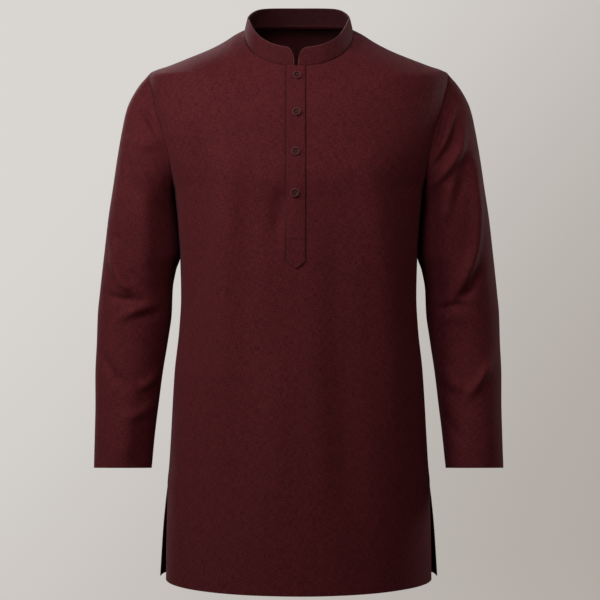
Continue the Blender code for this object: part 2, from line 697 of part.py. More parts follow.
def make_button(place, strip, shared_mesh):
    """Seat one button on the outer face of the placket."""
    point, normal = strip_place(strip, place.x, place.z)
    seat = Vector(point + normal * (PLACKET_CLOTH + SEAM_GAP))
    button = add_object(place.name, shared_mesh.copy(), BUTTON_BROWN, BUTTON_ROUGHNESS)
    turn = Vector(normal).to_track_quat("Z", "Y").to_matrix().to_4x4()
    button.matrix_world = Matrix.Translation(seat) @ turn
    button.data.shade_smooth()
    button.data.set_sharp_from_angle(angle=math.radians(35.0))
    return button


for old in list(bpy.data.objects):
    bpy.data.objects.remove(old, do_unlink=True)

GARMENT = bpy.data.collections.new("kurta_tunic")
bpy.context.scene.collection.children.link(GARMENT)

front_grid = panel_grid(FRONT)
back_grid = panel_grid(BACK)
make_panel("front", front_grid, FRONT, opening_quads(front_grid))
make_panel("back", back_grid, BACK)

for sleeve_name, sleeve_side, sleeve_folds in (
    ("sleeve_left", 1, LEFT_SLEEVE_FOLDS),
    ("sleeve_right", -1, RIGHT_SLEEVE_FOLDS),
):
    make_sleeve(sleeve_name, armhole_loop(front_grid, back_grid, sleeve_side), sleeve_side, sleeve_folds)

collar_mesh = open_surface("collar", collar_grid(neck_seam(front_grid, back_grid)))
cloth_wall("collar", collar_mesh, COLLAR_CLOTH, COLLAR_MAROON)

placket_points = strip_grid(front_grid, SEAM_GAP, PLACKET_SIDE_END, PLACKET_TIP)
placket_mesh = open_surface("placket", placket_points)
cloth_wall("placket", placket_mesh, PLACKET_CLOTH, MAROON, outwards=True)

under_points = strip_grid(front_grid, -CLOTH - SEAM_GAP, UNDER_PLACKET_END, UNDER_PLACKET_END)
under_mesh = open_surface("placket_under", under_points)
cloth_wall("placket_under", under_mesh, UNDER_PLACKET_CLOTH, MAROON)

finished_button = button_mesh()
for button_place in BUTTONS:
    make_button(button_place, placket_points, finished_button)
bpy.data.meshes.remove(finished_button)
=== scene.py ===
"""Kurta tunic in maroon cloth, in its worn, hollow form, in a plain studio."""
import math
from collections import namedtuple

import bmesh
import bpy
import numpy as np
from mathutils import Matrix, Vector


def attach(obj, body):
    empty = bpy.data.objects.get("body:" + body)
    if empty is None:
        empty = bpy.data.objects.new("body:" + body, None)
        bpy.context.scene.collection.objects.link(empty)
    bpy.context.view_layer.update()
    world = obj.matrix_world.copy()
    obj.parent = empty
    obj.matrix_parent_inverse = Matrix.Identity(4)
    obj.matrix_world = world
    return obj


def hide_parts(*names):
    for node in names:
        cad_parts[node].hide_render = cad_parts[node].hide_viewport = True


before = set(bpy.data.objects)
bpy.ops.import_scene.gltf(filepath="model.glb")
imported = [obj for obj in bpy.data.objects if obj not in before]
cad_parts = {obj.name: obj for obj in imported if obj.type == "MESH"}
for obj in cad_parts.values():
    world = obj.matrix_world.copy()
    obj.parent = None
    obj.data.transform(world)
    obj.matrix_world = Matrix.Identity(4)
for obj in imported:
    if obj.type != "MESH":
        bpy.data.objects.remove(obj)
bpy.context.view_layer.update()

# Studio
# A plain pale floor runs up into a round wall that glows with painted light, paler towards -X and up, with
# painted shade towards +X and down. The main soft lights stand in front and at the wearer's right, weaker
# ones fill the other side, and two light the back.
EYE = Vector((0.002, -2.186, -0.415))
LENS = 85.0
FLOOR_LEVEL = -1.46
WALL_RADIUS = 5.5
WALL_TOP = 3.5
WALL_SIDES = 96
BEND_RADIUS = WALL_RADIUS * 0.4
BEND_STEPS = 12
PALE_SIDE = (0.695, 0.668, 0.640, 1.0)
SHADED_SIDE = (0.415, 0.378, 0.345, 1.0)
SHADE_SLANT = 0.8
SHADE_START = -1.6
SHADE_END = 3.2
ROOM_COLOUR = (0.93, 0.95, 1.0, 1.0)
ROOM_STRENGTH = 0.012

bpy.context.scene.view_settings.view_transform = "Standard"


class Value:
    """One output of a shader node. Sums, differences and products of values add their Math nodes."""

    def __init__(self, finish, socket):
        self.finish = finish
        self.socket = socket

    def maths(self, operation, first, second):
        return self.finish.node("ShaderNodeMath", {"operation": operation}, {0: first, 1: second})

    def __add__(self, other):
        return self.maths("ADD", self, other)

    def __sub__(self, other):
        return self.maths("SUBTRACT", self, other)

    def __rsub__(self, other):
        return self.maths("SUBTRACT", other, self)

    def __mul__(self, other):
        return self.maths("MULTIPLY", self, other)

    __radd__ = __add__


class Finish:
    """The nodes of one material."""

    def __init__(self, name):
        self.material = bpy.data.materials.new(name)
        self.material.use_nodes = True
        self.tree = self.material.node_tree
        self.shader = self.tree.nodes["Principled BSDF"]

    def node(self, kind, settings=None, inputs=None, output=0):
        """Add a node, give it its settings and then its inputs, and return one of its outputs."""
        made = self.tree.nodes.new(kind)
        for name, setting in (settings or {}).items():
            if name == "stops":
                for element, (place, colour) in zip(made.color_ramp.elements, setting):
                    element.position = place
                    element.color = colour
            else:
                setattr(made, name, setting)
        self.feed(made, inputs or {})
        return Value(self, made.outputs[output])

    def feed(self, node, inputs):
        for key, value in inputs.items():
            if isinstance(value, Value):
                self.tree.links.new(value.socket, node.inputs[key])
            else:
                node.inputs[key].default_value = value

    def mix(self, factor, first, second, blend="MIX"):
        settings = {"data_type": "RGBA", "blend_type": blend, "clamp_factor": True}
        return self.node("ShaderNodeMix", settings, {0: factor, 6: first, 7: second}, output=2)


def new_object(name, data):
    """Put a mesh, light or camera in the scene under a name."""
    made = bpy.data.objects.new(name, data)
    bpy.context.scene.collection.objects.link(made)
    return made


def studio_wall():
    """The floor and wall in one sweep, turned round the garment."""
    bend_start = WALL_RADIUS - BEND_RADIUS
    profile = [(0.0, FLOOR_LEVEL), (bend_start, FLOOR_LEVEL)]
    for i in range(1, BEND_STEPS + 1):
        turn = math.pi / 2 * i / BEND_STEPS
        rise = BEND_RADIUS * (1 - math.cos(turn))
        profile.append((bend_start + BEND_RADIUS * math.sin(turn), FLOOR_LEVEL + rise))
    profile.append((WALL_RADIUS, WALL_TOP))
    mesh = bpy.data.meshes.new("studio_sweep")
    shape = bmesh.new()
    rim = [shape.verts.new((radius, 0.0, height)) for radius, height in profile]
    edges = [shape.edges.new(pair) for pair in zip(rim, rim[1:])]
    bmesh.ops.spin(
        shape, geom=rim + edges, cent=(0, 0, 0), axis=(0, 0, 1), angle=2 * math.pi, steps=WALL_SIDES)
    bmesh.ops.remove_doubles(shape, verts=shape.verts, dist=0.0001)
    shape.to_mesh(mesh)
    shape.free()
    mesh.shade_smooth()
    return new_object("studio_sweep", mesh)


sweep = studio_wall()
sweep.visible_diffuse = False
sweep.visible_glossy = False
sweep.visible_shadow = False
sweep_finish = Finish("studio_backdrop_painted_light")
place = sweep_finish.node("ShaderNodeTexCoord", output=3)
place_x = sweep_finish.node("ShaderNodeSeparateXYZ", inputs={0: place}, output=0)
place_z = sweep_finish.node("ShaderNodeSeparateXYZ", inputs={0: place}, output=2)
across = sweep_finish.node(
    "ShaderNodeMapRange", {"interpolation_type": "SMOOTHSTEP"},
    {"Value": place_x - place_z * SHADE_SLANT, "From Min": SHADE_START, "From Max": SHADE_END,
     "To Min": 0.0, "To Max": 1.0})
# Painted light and shade on the sweep: its emitted colour runs from pale to shaded across it, standing in
# for the fall-off of the lamps.
painted_backdrop_light = sweep_finish.mix(across, PALE_SIDE, SHADED_SIDE)
sweep_finish.feed(sweep_finish.shader, {
    "Base Color": (0.0, 0.0, 0.0, 1.0), "Roughness": 1.0, "Specular IOR Level": 0.0,
    "Emission Color": painted_backdrop_light, "Emission Strength": 1.0,
})
sweep.data.materials.append(sweep_finish.material)

camera_data = bpy.data.cameras.new("camera")
camera_data.lens = LENS
camera = new_object("camera", camera_data)
camera.location = EYE
camera.rotation_euler = (math.pi / 2, 0.0, 0.0)
bpy.context.scene.camera = camera

SoftLight = namedtuple("SoftLight", "name place aim size watts colour")
SOFT_LIGHTS = [
    SoftLight("chest_key", (-0.45, -1.0, 0.35), (-0.10, -0.13, -0.15), 0.5, 3.1, (1.0, 0.94, 1.10)),
    SoftLight("side_key", (-1.9, -1.2, 0.8), (0.0, 0.0, -0.20), 0.9, 17.0, (1.0, 0.98, 0.95)),
    SoftLight("far_fill", (1.9, -1.3, 1.2), (0.0, 0.0, -0.20), 0.9, 5.2, (1.0, 0.80, 0.80)),
    SoftLight("low_fill", (1.1, -2.0, 0.2), (0.0, 0.0, -0.30), 0.9, 2.4, (1.0, 0.97, 0.75)),
    SoftLight("back_key", (-1.5, 2.3, 1.3), (0.0, 0.0, -0.25), 1.0, 40.0, (1.0, 0.97, 0.99)),
    SoftLight("back_fill", (2.3, 1.5, 0.7), (0.0, 0.0, -0.25), 1.0, 17.0, (1.0, 0.96, 0.92)),
]
for light in SOFT_LIGHTS:
    lamp = bpy.data.lights.new(light.name, "AREA")
    lamp.shape = "DISK"
    lamp.size = light.size
    lamp.energy = light.watts
    lamp.color = light.colour
    stand = new_object(light.name, lamp)
    stand.location = light.place
    stand.rotation_euler = (Vector(light.aim) - Vector(light.place)).to_track_quat("-Z", "Y").to_euler()

room = bpy.data.worlds.new("room")
room.use_nodes = True
room.node_tree.nodes["Background"].inputs["Color"].default_value = ROOM_COLOUR
room.node_tree.nodes["Background"].inputs["Strength"].default_value = ROOM_STRENGTH
bpy.context.scene.world = room

# Front
# One panel of plain-woven maroon cloth with light flecks in its yarn, cut with a narrow opening down
# from the neck. It hangs almost smooth, with a few long soft folds, and its seam edges roll in.
CLOTH = 0.0014
HALF_GAP = 0.00015
ARMPIT_LEVEL = -0.245
SLIT_TOP = -0.696
HEM_LEVEL = -0.842
SHOULDER_LEVEL = -0.065
SHOULDER_HALF = 0.229
NECK_HALF = 0.0835
FRONT_NECK_DROP = 0.0275
BACK_NECK_DROP = 0.0124
NECK_TILT = 0.45
SHOULDER_TILT = 0.25
TILT_FULL_HALF = 0.06
TILT_FADE_WIDTH = 0.10
TILT_FADE_DEPTH = 0.1325
PLACKET_LEFT = -0.018
PLACKET_RIGHT = 0.010
OPENING_LEFT = -0.0067
OPENING_RIGHT = -0.0007
OPENING_END = -0.322
PLACKET_SIDE_END = -0.359

NECK_COLUMNS = 28
SHOULDER_COLUMNS = 26
LOWER_ROWS = 150
UPPER_ROWS = 52
EDGE_STEPS = (0.0007, 0.0016, 0.0030)
SEAM_ROLL_WIDTH = 0.0024
SEAM_ROLL_DEPTH = 0.0007
SHOULDER_ROLL_DEPTH = 0.0003
NECK_ROLL_DEPTH = 0.0011
FLAT_BY_SEAM = 0.025
SWELL_HEIGHT = 0.00045
CROSS_SWELL_HEIGHT = 0.00030
RIPPLE_HEIGHT = 0.00018
SAMPLES_ALONG = 240

BodyLevel = namedtuple("BodyLevel", "level half_width front_depth back_depth roundness")
BODY_LEVELS = [BodyLevel(*row) for row in (
    (0.000, 0.0835, 0.0400, 0.0450, 2.30),
    (-0.008, 0.1000, 0.0550, 0.0660, 2.30),
    (-0.017, 0.1145, 0.0740, 0.0780, 2.30),
    (-0.0275, 0.1345, 0.0900, 0.0890, 2.31),
    (-0.043, 0.1720, 0.0968, 0.0975, 2.33),
    (-0.055, 0.2030, 0.1003, 0.1015, 2.35),
    (-0.065, 0.2290, 0.1030, 0.1045, 2.38),
    (-0.075, 0.2296, 0.1055, 0.1070, 2.40),
    (-0.100, 0.2272, 0.1105, 0.1125, 2.46),
    (-0.130, 0.2243, 0.1160, 0.1170, 2.52),
    (-0.155, 0.2201, 0.1205, 0.1195, 2.56),
    (-0.180, 0.2138, 0.1245, 0.1210, 2.59),
    (-0.210, 0.2046, 0.1280, 0.1215, 2.60),
    (-0.235, 0.1957, 0.1300, 0.1208, 2.58),
    (-0.245, 0.1915, 0.1305, 0.1203, 2.57),
    (-0.313, 0.1845, 0.1335, 0.1155, 2.45),
    (-0.347, 0.1826, 0.1345, 0.1130, 2.38),
    (-0.410, 0.1812, 0.1355, 0.1110, 2.27),
    (-0.461, 0.1838, 0.1370, 0.1125, 2.19),
    (-0.520, 0.1900, 0.1390, 0.1170, 2.12),
    (-0.575, 0.1936, 0.1408, 0.1215, 2.08),
    (-0.616, 0.1959, 0.1422, 0.1245, 2.06),
    (-0.668, 0.1992, 0.1438, 0.1285, 2.03),
    (SLIT_TOP, 0.2018, 0.1446, 0.1305, 2.02),
)]

SlitLevel = namedtuple(
    "SlitLevel", "level front_half front_edge front_depth back_half back_edge back_depth")
SLIT_LEVELS = [
    SlitLevel(-0.725, 0.2020, 0.0030, 0.1453, 0.2055, 0.0030, 0.1325),
    SlitLevel(-0.767, 0.2028, 0.0060, 0.1464, 0.2097, 0.0060, 0.1355),
    SlitLevel(-0.807, 0.2034, 0.0072, 0.1473, 0.2125, 0.0080, 0.1380),
    SlitLevel(HEM_LEVEL, 0.2038, 0.0080, 0.1480, 0.2147, 0.0090, 0.1400),
]

# Levels of the armhole seam and its distance from the middle
ARMHOLE = [
    (ARMPIT_LEVEL, 0.1915),
    (-0.235, 0.1902),
    (-0.210, 0.1930),
    (-0.180, 0.1995),
    (-0.154, 0.2070),
    (-0.129, 0.2150),
    (-0.104, 0.2210),
    (-0.078, 0.2275),
    (SHOULDER_LEVEL, SHOULDER_HALF),
]

# A fold is a soft ridge, or a trough where its height is below 0. Each row has the places along its line,
# seen from the front, its width and its height, in millimetres.
MM = 0.001
FOLD_STATIONS = 12
FOLD_END = 0.3
FOLD_END_HEIGHT = 0.25
FRONT_FOLDS = [
    ([(44, -270), (54, -345), (60, -440), (66, -560), (76, -690), (88, -800)], 28, -5.6),
    ([(102, -190), (114, -285), (130, -380), (138, -500), (150, -660)], 24, 6.8),
    ([(168, -190), (160, -250), (164, -330)], 16, -2.2),
    ([(-104, -215), (-106, -300), (-112, -400), (-114, -520), (-110, -640)], 24, 8),
    ([(-70, -215), (-76, -280), (-78, -350)], 18, -2),
    ([(-172, -140), (-152, -200), (-145, -270), (-148, -370), (-154, -500)], 20, -9.5),
    ([(-176, -165), (-125, -222), (-60, -241), (2, -238), (75, -230), (130, -208), (162, -170)],
         34, 3.8),
    ([(-22, -245), (-27, -285), (-33, -330)], 11, -5.4),
    ([(-58, -330), (-52, -400), (-50, -480)], 20, 2.6),
    ([(-36, -480), (-34, -600), (-38, -760)], 24, 3),
    ([(-150, -500), (-152, -640), (-156, -800)], 20, -1.8),
    ([(20, -440), (26, -560), (30, -760)], 18, 1.4),
]

Face = namedtuple("Face", "side neck_drop centre_columns")
GROOVE_COLUMNS = (0.0008, 0.0018, 0.0032)
GROOVE_WIDTH = 0.0009
LEFT_GROOVE_DEPTH = 0.0008
RIGHT_GROOVE_DEPTH = 0.00024
GROOVE_END = 0.006
FRONT = Face(-1, FRONT_NECK_DROP, (
    *(PLACKET_LEFT - beside for beside in GROOVE_COLUMNS[::-1]), PLACKET_LEFT, OPENING_LEFT,
    OPENING_RIGHT, PLACKET_RIGHT, *(PLACKET_RIGHT + beside for beside in GROOVE_COLUMNS)))
BACK = Face(1, BACK_NECK_DROP, (0.0,))


def fade(value):
    """Smooth step from 1 at 0 to 0 at 1."""
    t = np.clip(value, 0.0, 1.0)
    return 1.0 - t * t * (3.0 - 2.0 * t)


def smooth_curve(places, values):
    """A smooth curve through the rows of a table that never swings past them."""
    order = np.argsort(places)
    x = np.array(places, dtype=float)[order]
    y = np.array(values, dtype=float)[order]
    step = np.diff(x)
    rise = np.diff(y) / step
    slope = np.zeros(len(x))
    slope[0] = rise[0]
    slope[-1] = rise[-1]
    for i in range(1, len(x) - 1):
        if rise[i - 1] * rise[i] > 0.0:
            slope[i] = 2.0 * rise[i - 1] * rise[i] / (rise[i - 1] + rise[i])

    def value(place):
        place = np.clip(place, x[0], x[-1])
        i = np.clip(np.searchsorted(x, place, side="right") - 1, 0, len(step) - 1)
        t = (place - x[i]) / step[i]
        start = y[i] * (1 + 2 * t) * (1 - t) ** 2 + y[i + 1] * t * t * (3 - 2 * t)
        bend = slope[i] * t * (1 - t) ** 2 - slope[i + 1] * t * t * (1 - t)
        return start + step[i] * bend

    return value


def level_curves(face):
    """Half width, depth and stand-off of the free edge of one face of the body, by level."""
    side = "front" if face is FRONT else "back"
    levels = [row.level for row in BODY_LEVELS + SLIT_LEVELS]
    half = [row.half_width for row in BODY_LEVELS] + [getattr(row, side + "_half") for row in SLIT_LEVELS]
    depth = [getattr(row, side + "_depth") for row in BODY_LEVELS + SLIT_LEVELS]
    edge = [0.0] * len(BODY_LEVELS) + [getattr(row, side + "_edge") for row in SLIT_LEVELS]
    return smooth_curve(levels, half), smooth_curve(levels, depth), smooth_curve(levels, edge)


CURVES = {FRONT: level_curves(FRONT), BACK: level_curves(BACK)}
ring_roundness = smooth_curve([row.level for row in BODY_LEVELS], [row.roundness for row in BODY_LEVELS])
armhole_half = smooth_curve(*zip(*ARMHOLE))


def body_points(face, x, level):
    """Points on the outside of the body, before its folds, at distances x from the centre."""
    x, level = np.broadcast_arrays(np.asarray(x, dtype=float), np.asarray(level, dtype=float))
    half_curve, depth_curve, edge_curve = CURVES[face]
    roundness = ring_roundness(level)
    edge = edge_curve(level) + HALF_GAP
    across = np.minimum(np.abs(x) / half_curve(level), 1.0)
    bow = np.maximum(1.0 - across ** roundness, 0.0) ** (1.0 / roundness)
    y = face.side * (edge + (depth_curve(level) - edge) * bow)
    near_neck = fade((np.abs(x) - TILT_FULL_HALF) / TILT_FADE_WIDTH)
    below_neck = fade((-level - FRONT_NECK_DROP) / TILT_FADE_DEPTH)
    tilt = (SHOULDER_TILT + (NECK_TILT - SHOULDER_TILT) * near_neck) * below_neck
    return np.stack((x, y, level + y * tilt), axis=-1)


def lengths_along(points, axis=0):
    """Distance travelled along rows or columns of points."""
    steps = np.linalg.norm(np.diff(points, axis=axis), axis=-1)
    start = np.zeros_like(np.take(steps, [0], axis=axis))
    return np.concatenate((start, np.cumsum(steps, axis=axis)), axis=axis)


def spaced(start, end, make_points, count, edge_at_end=False):
    """Parameters that part a curve evenly, with closer ones at its end where that is a seam edge."""
    fine = np.linspace(start, end, SAMPLES_ALONG)
    travelled = lengths_along(make_points(fine))
    total = travelled[-1]
    if edge_at_end:
        wanted = np.linspace(0.0, total - EDGE_STEPS[-1], count + 1 - len(EDGE_STEPS))
        wanted = np.concatenate((wanted, total - np.array((*EDGE_STEPS[1::-1], 0.0))))
    else:
        wanted = np.linspace(0.0, total, count + 1)
    return np.interp(wanted, travelled, fine)


def ring_half(face, level, start_x, side):
    """x of the columns at one level, from the centre column out to the side seam."""
    half = float(CURVES[face][0](level))
    start = math.copysign(math.asin(min(abs(start_x) / half, 1.0)), start_x * side)
    angles = spaced(
        start, math.pi / 2, lambda angle: body_points(face, side * half * np.sin(angle), level),
        NECK_COLUMNS + SHOULDER_COLUMNS, edge_at_end=True,
    )
    return side * half * np.sin(angles)


def top_half(face, start_x, side):
    """x and level of the columns along the neckline and then the shoulder seam."""
    start = math.asin(start_x * side / NECK_HALF)

    def neck(angle):
        return NECK_HALF * np.sin(angle), -face.neck_drop * np.cos(angle)

    def shoulder(level):
        return CURVES[FRONT][0](level), level

    angles = spaced(
        start, math.pi / 2, lambda a: body_points(face, neck(a)[0] * side, neck(a)[1]), NECK_COLUMNS)
    levels = spaced(
        0.0, SHOULDER_LEVEL, lambda v: body_points(face, shoulder(v)[0] * side, v), SHOULDER_COLUMNS, True)
    x = np.concatenate((neck(angles)[0], shoulder(levels)[0][1:]))
    level = np.concatenate((neck(angles)[1], levels[1:]))
    return x * side, level


def upper_half(face, start_x, side, rise):
    """x and level of the columns between the armpit line and the top, at one share of the rise."""
    bottom = ring_half(face, ARMPIT_LEVEL, start_x, side)
    top_x, top_level = top_half(face, start_x, side)
    armhole_x = side * armhole_half(ARMPIT_LEVEL + (SHOULDER_LEVEL - ARMPIT_LEVEL) * rise)
    edge_x = bottom[-1] + (top_x[-1] - bottom[-1]) * rise
    pull = np.linspace(0.0, 1.0, len(bottom)) ** 3
    x = bottom + (top_x - bottom) * rise + pull * (armhole_x - edge_x)
    return x, ARMPIT_LEVEL + (top_level - ARMPIT_LEVEL) * rise


def panel_rows():
    """Levels of the rows up to the armpit, and shares of the rise of those above it."""
    lower = np.linspace(HEM_LEVEL + EDGE_STEPS[-1], ARMPIT_LEVEL, LOWER_ROWS)
    lower = np.concatenate(([HEM_LEVEL, HEM_LEVEL + EDGE_STEPS[0], HEM_LEVEL + EDGE_STEPS[1]], lower))
    near_top = np.array(EDGE_STEPS[::-1]) / (SHOULDER_LEVEL - ARMPIT_LEVEL)
    upper = np.linspace(0.0, 1.0 - near_top[0], UPPER_ROWS)[1:]
    return lower, np.concatenate((upper, 1.0 - near_top[1:], [1.0]))


def panel_places(face):
    """x and level of each point of a panel, rows from the hem up, columns from -X to +X."""
    starts = face.centre_columns
    inner = np.array(starts[1:-1])
    lower, upper = panel_rows()
    rows = []
    for level in lower:
        left = ring_half(face, level, starts[0], -1)
        right = ring_half(face, level, starts[-1], 1)
        places = np.concatenate((left[::-1], inner, right if len(starts) > 1 else right[1:]))
        rows.append(np.stack((places, np.full(len(places), level)), axis=1))
    for rise in upper:
        left_x, left_level = upper_half(face, starts[0], -1, rise)
        right_x, right_level = upper_half(face, starts[-1], 1, rise)
        if len(starts) == 1:
            right_x, right_level = right_x[1:], right_level[1:]
        inner_top = -face.neck_drop * np.sqrt(1.0 - (inner / NECK_HALF) ** 2)
        inner_level = ARMPIT_LEVEL + (inner_top - ARMPIT_LEVEL) * rise
        places = np.concatenate((left_x[::-1], inner, right_x))
        levels = np.concatenate((left_level[::-1], inner_level, right_level))
        rows.append(np.stack((places, levels), axis=1))
    return np.array(rows)


def grid_normals(grid):
    """Unit normals of a grid, pointing to its outside."""
    normals = np.cross(np.gradient(grid, axis=1), np.gradient(grid, axis=0))
    return normals / np.linalg.norm(normals, axis=2, keepdims=True)


def fold_relief(folds, x, z):
    """Height of the folds of a table at places seen from the front; each dies out at both ends."""
    height = np.zeros_like(x)
    for line, width, crest in folds:
        stations = np.linspace(0.0, 1.0, len(line))
        along = np.linspace(0.0, 1.0, FOLD_STATIONS * len(line))
        line_x, line_z = (smooth_curve(stations, run)(along) * MM for run in zip(*line))
        apart = np.hypot(x[..., None] - line_x, z[..., None] - line_z)
        nearest = apart.min(axis=-1)
        share = along[apart.argmin(axis=-1)]
        full = 1.0 - fade(np.minimum(share, 1.0 - share) / FOLD_END)
        full = FOLD_END_HEIGHT + (1.0 - FOLD_END_HEIGHT) * full
        height += crest * MM * full * np.exp(-((nearest / (width * MM)) ** 2))
    return height


def seam_roll(distance, depth=SEAM_ROLL_DEPTH):
    """How far a seam edge rolls in, by the distance from the seam."""
    return -depth * np.clip(1.0 - distance / SEAM_ROLL_WIDTH, 0.0, 1.0) ** 2


def drape(x, z, seed):
    """Slow uneven swell of hanging cloth, a fraction of a millimetre high."""
    wave = np.sin(x * 31.0 + seed + 1.3 * np.sin(z * 9.0 + seed * 2.0))
    cross = np.sin(z * 17.0 - seed + 0.9 * np.sin(x * 14.0 + seed))
    fine = np.sin(x * 67.0 + z * 23.0 + seed * 3.0)
    return SWELL_HEIGHT * wave + CROSS_SWELL_HEIGHT * cross + RIPPLE_HEIGHT * fine


def placket_groove(x, z):
    """The front sinks along both long edges of the placket, where that is stitched down."""
    left = np.exp(-(((x - PLACKET_LEFT + GROOVE_COLUMNS[0]) / GROOVE_WIDTH) ** 2))
    right = np.exp(-(((x - PLACKET_RIGHT - GROOVE_COLUMNS[0]) / GROOVE_WIDTH) ** 2))
    depth = LEFT_GROOVE_DEPTH * left + RIGHT_GROOVE_DEPTH * right
    return -depth * fade((PLACKET_SIDE_END - z) / GROOVE_END)


def panel_grid(face, folds, seed):
    """Outside points of a panel with its folds and rolled seam edges, and its flat coordinates."""
    places = panel_places(face)
    grid = body_points(face, places[..., 0], places[..., 1])
    across = lengths_along(grid, axis=1)
    middle = across[:, [across.shape[1] // 2]]
    flat_u = across - middle
    upwards = lengths_along(grid, axis=0)
    flat_v = np.broadcast_to(upwards[:, [upwards.shape[1] // 2]], across.shape)
    outward = -face.side * grid_normals(grid)
    from_side = np.minimum(across, across[:, [-1]] - across)
    from_top = upwards[-1] - upwards
    seamed = grid[..., 2] > SLIT_TOP
    relief = fold_relief(folds, grid[..., 0], grid[..., 2]) + drape(grid[..., 0], grid[..., 2], seed)
    relief *= 1.0 - fade(from_side / FLAT_BY_SEAM)
    relief *= 1.0 - fade(from_top / FLAT_BY_SEAM)
    top_depth = np.where(np.abs(grid[-1, :, 0]) < NECK_HALF, NECK_ROLL_DEPTH, SHOULDER_ROLL_DEPTH)
    relief += np.where(seamed, seam_roll(from_side), 0.0) + seam_roll(from_top, top_depth)
    if face is FRONT:
        relief += placket_groove(grid[..., 0], grid[..., 2])
    return grid + outward * relief[..., None], flat_u, flat_v


def pick(*pieces):
    """Select these objects alone, with the first one active."""
    bpy.ops.object.select_all(action="DESELECT")
    for piece in pieces:
        piece.select_set(True)
    bpy.context.view_layer.objects.active = pieces[0]


def modify(piece, name, kind, **settings):
    """Finish the picked piece with a modifier and apply it."""
    modifier = piece.modifiers.new(name, kind)
    for setting, value in settings.items():
        setattr(modifier, setting, value)
    bpy.ops.object.modifier_apply(modifier=name)


def cloth_mesh(name, grid, flat_u, flat_v, closed=False, left_out=None, from_edge=None):
    """Mesh of quads on a grid. Its UV map holds the cloth's flat coordinates, in metres, and a second one,
    where it is asked for, the distance from a folded edge."""
    rows, columns = grid.shape[:2]
    i, j = np.meshgrid(np.arange(rows - 1), np.arange(columns if closed else columns - 1), indexing="ij")
    kept = np.ones(i.shape, dtype=bool) if left_out is None else ~left_out
    i, j = i[kept], j[kept]
    k = (j + 1) % columns
    low, high = i * columns, (i + 1) * columns
    quads = np.stack((low + j, low + k, high + k, high + j), axis=1)
    mesh = bpy.data.meshes.new(name)
    mesh.from_pydata(grid.reshape(-1, 3).tolist(), [], quads.tolist())

    def corners(values, beside):
        return np.stack((values[i, j], values[i, beside], values[i + 1, beside], values[i + 1, j]), axis=1)

    flat = mesh.uv_layers.new(name="flat_cloth")
    places = np.stack((corners(flat_u, j + 1), corners(flat_v, k)), axis=2)
    flat.data.foreach_set("uv", places.ravel())
    if from_edge is not None:
        edge = mesh.uv_layers.new(name="from_edge")
        distance = corners(from_edge, k)
        edge.data.foreach_set("uv", np.stack((distance, np.zeros_like(distance)), axis=2).ravel())
        flat.active_render = True
    mesh.update()
    return mesh


SHARP_ANGLE = math.radians(55.0)


def cloth_piece(name, cloth, thickness, finish, slot, nodes, edge_bevel=0.0, **mesh_options):
    """Make a piece from a grid and its flat coordinates, with its thickness, finish and place."""
    mesh = cloth_mesh(name, *cloth, **mesh_options)
    piece = new_object(name, mesh)
    pick(piece)
    right_side = len(mesh.polygons)
    modify(piece, "Wall", "SOLIDIFY", thickness=thickness, offset=-1.0)
    inside_painted_shade = np.zeros(len(mesh.polygons))
    inside_painted_shade[right_side:2 * right_side] = 1.0
    mesh.attributes.new("inside_painted_shade", "FLOAT", "FACE").data.foreach_set("value", inside_painted_shade)
    if edge_bevel:
        modify(piece, "Rounding", "BEVEL", width=edge_bevel, segments=3,
               limit_method="ANGLE", angle_limit=SHARP_ANGLE)
    piece.data.shade_smooth()
    piece.data.set_sharp_from_angle(angle=SHARP_ANGLE)
    piece.data.materials.append(finish.material)
    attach(piece, "root")
    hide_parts(*nodes)
    return piece


# The yarn's flecks, in waves to the metre along and across the flat cloth
WEFT_FLECKS = (140.0, 940.0)
WARP_FLECKS = (900.0, 130.0)
CLOUD_FLECKS = (75.0, 60.0)
CLOUD_SHARE = 0.14
FLECK_DETAIL = 2.0
FLECK_CONTRAST = 0.34
FLECK_PALENESS = 0.006
DARK_YARN = 0.34
PALE_YARN = 0.66
YARN_SPACING = 0.0011
YARN_TURNS = 2.0 * math.pi / YARN_SPACING
WEAVE_HEIGHT = 0.00012
SLUB_HEIGHT = 1.6
# Share by which the inner faces' colour is darkened, painted shade inside the garment.
INSIDE_PAINTED_SHADE_SHARE = 0.45
EDGE_CORE = 0.35
SHEEN_TINT = (1.0, 0.62, 0.66, 1.0)


def shade_of(colour, share, added=0.0):
    """A colour made darker or paler by a share, with a little grey added."""
    return tuple(channel * share + added for channel in colour) + (1.0,)


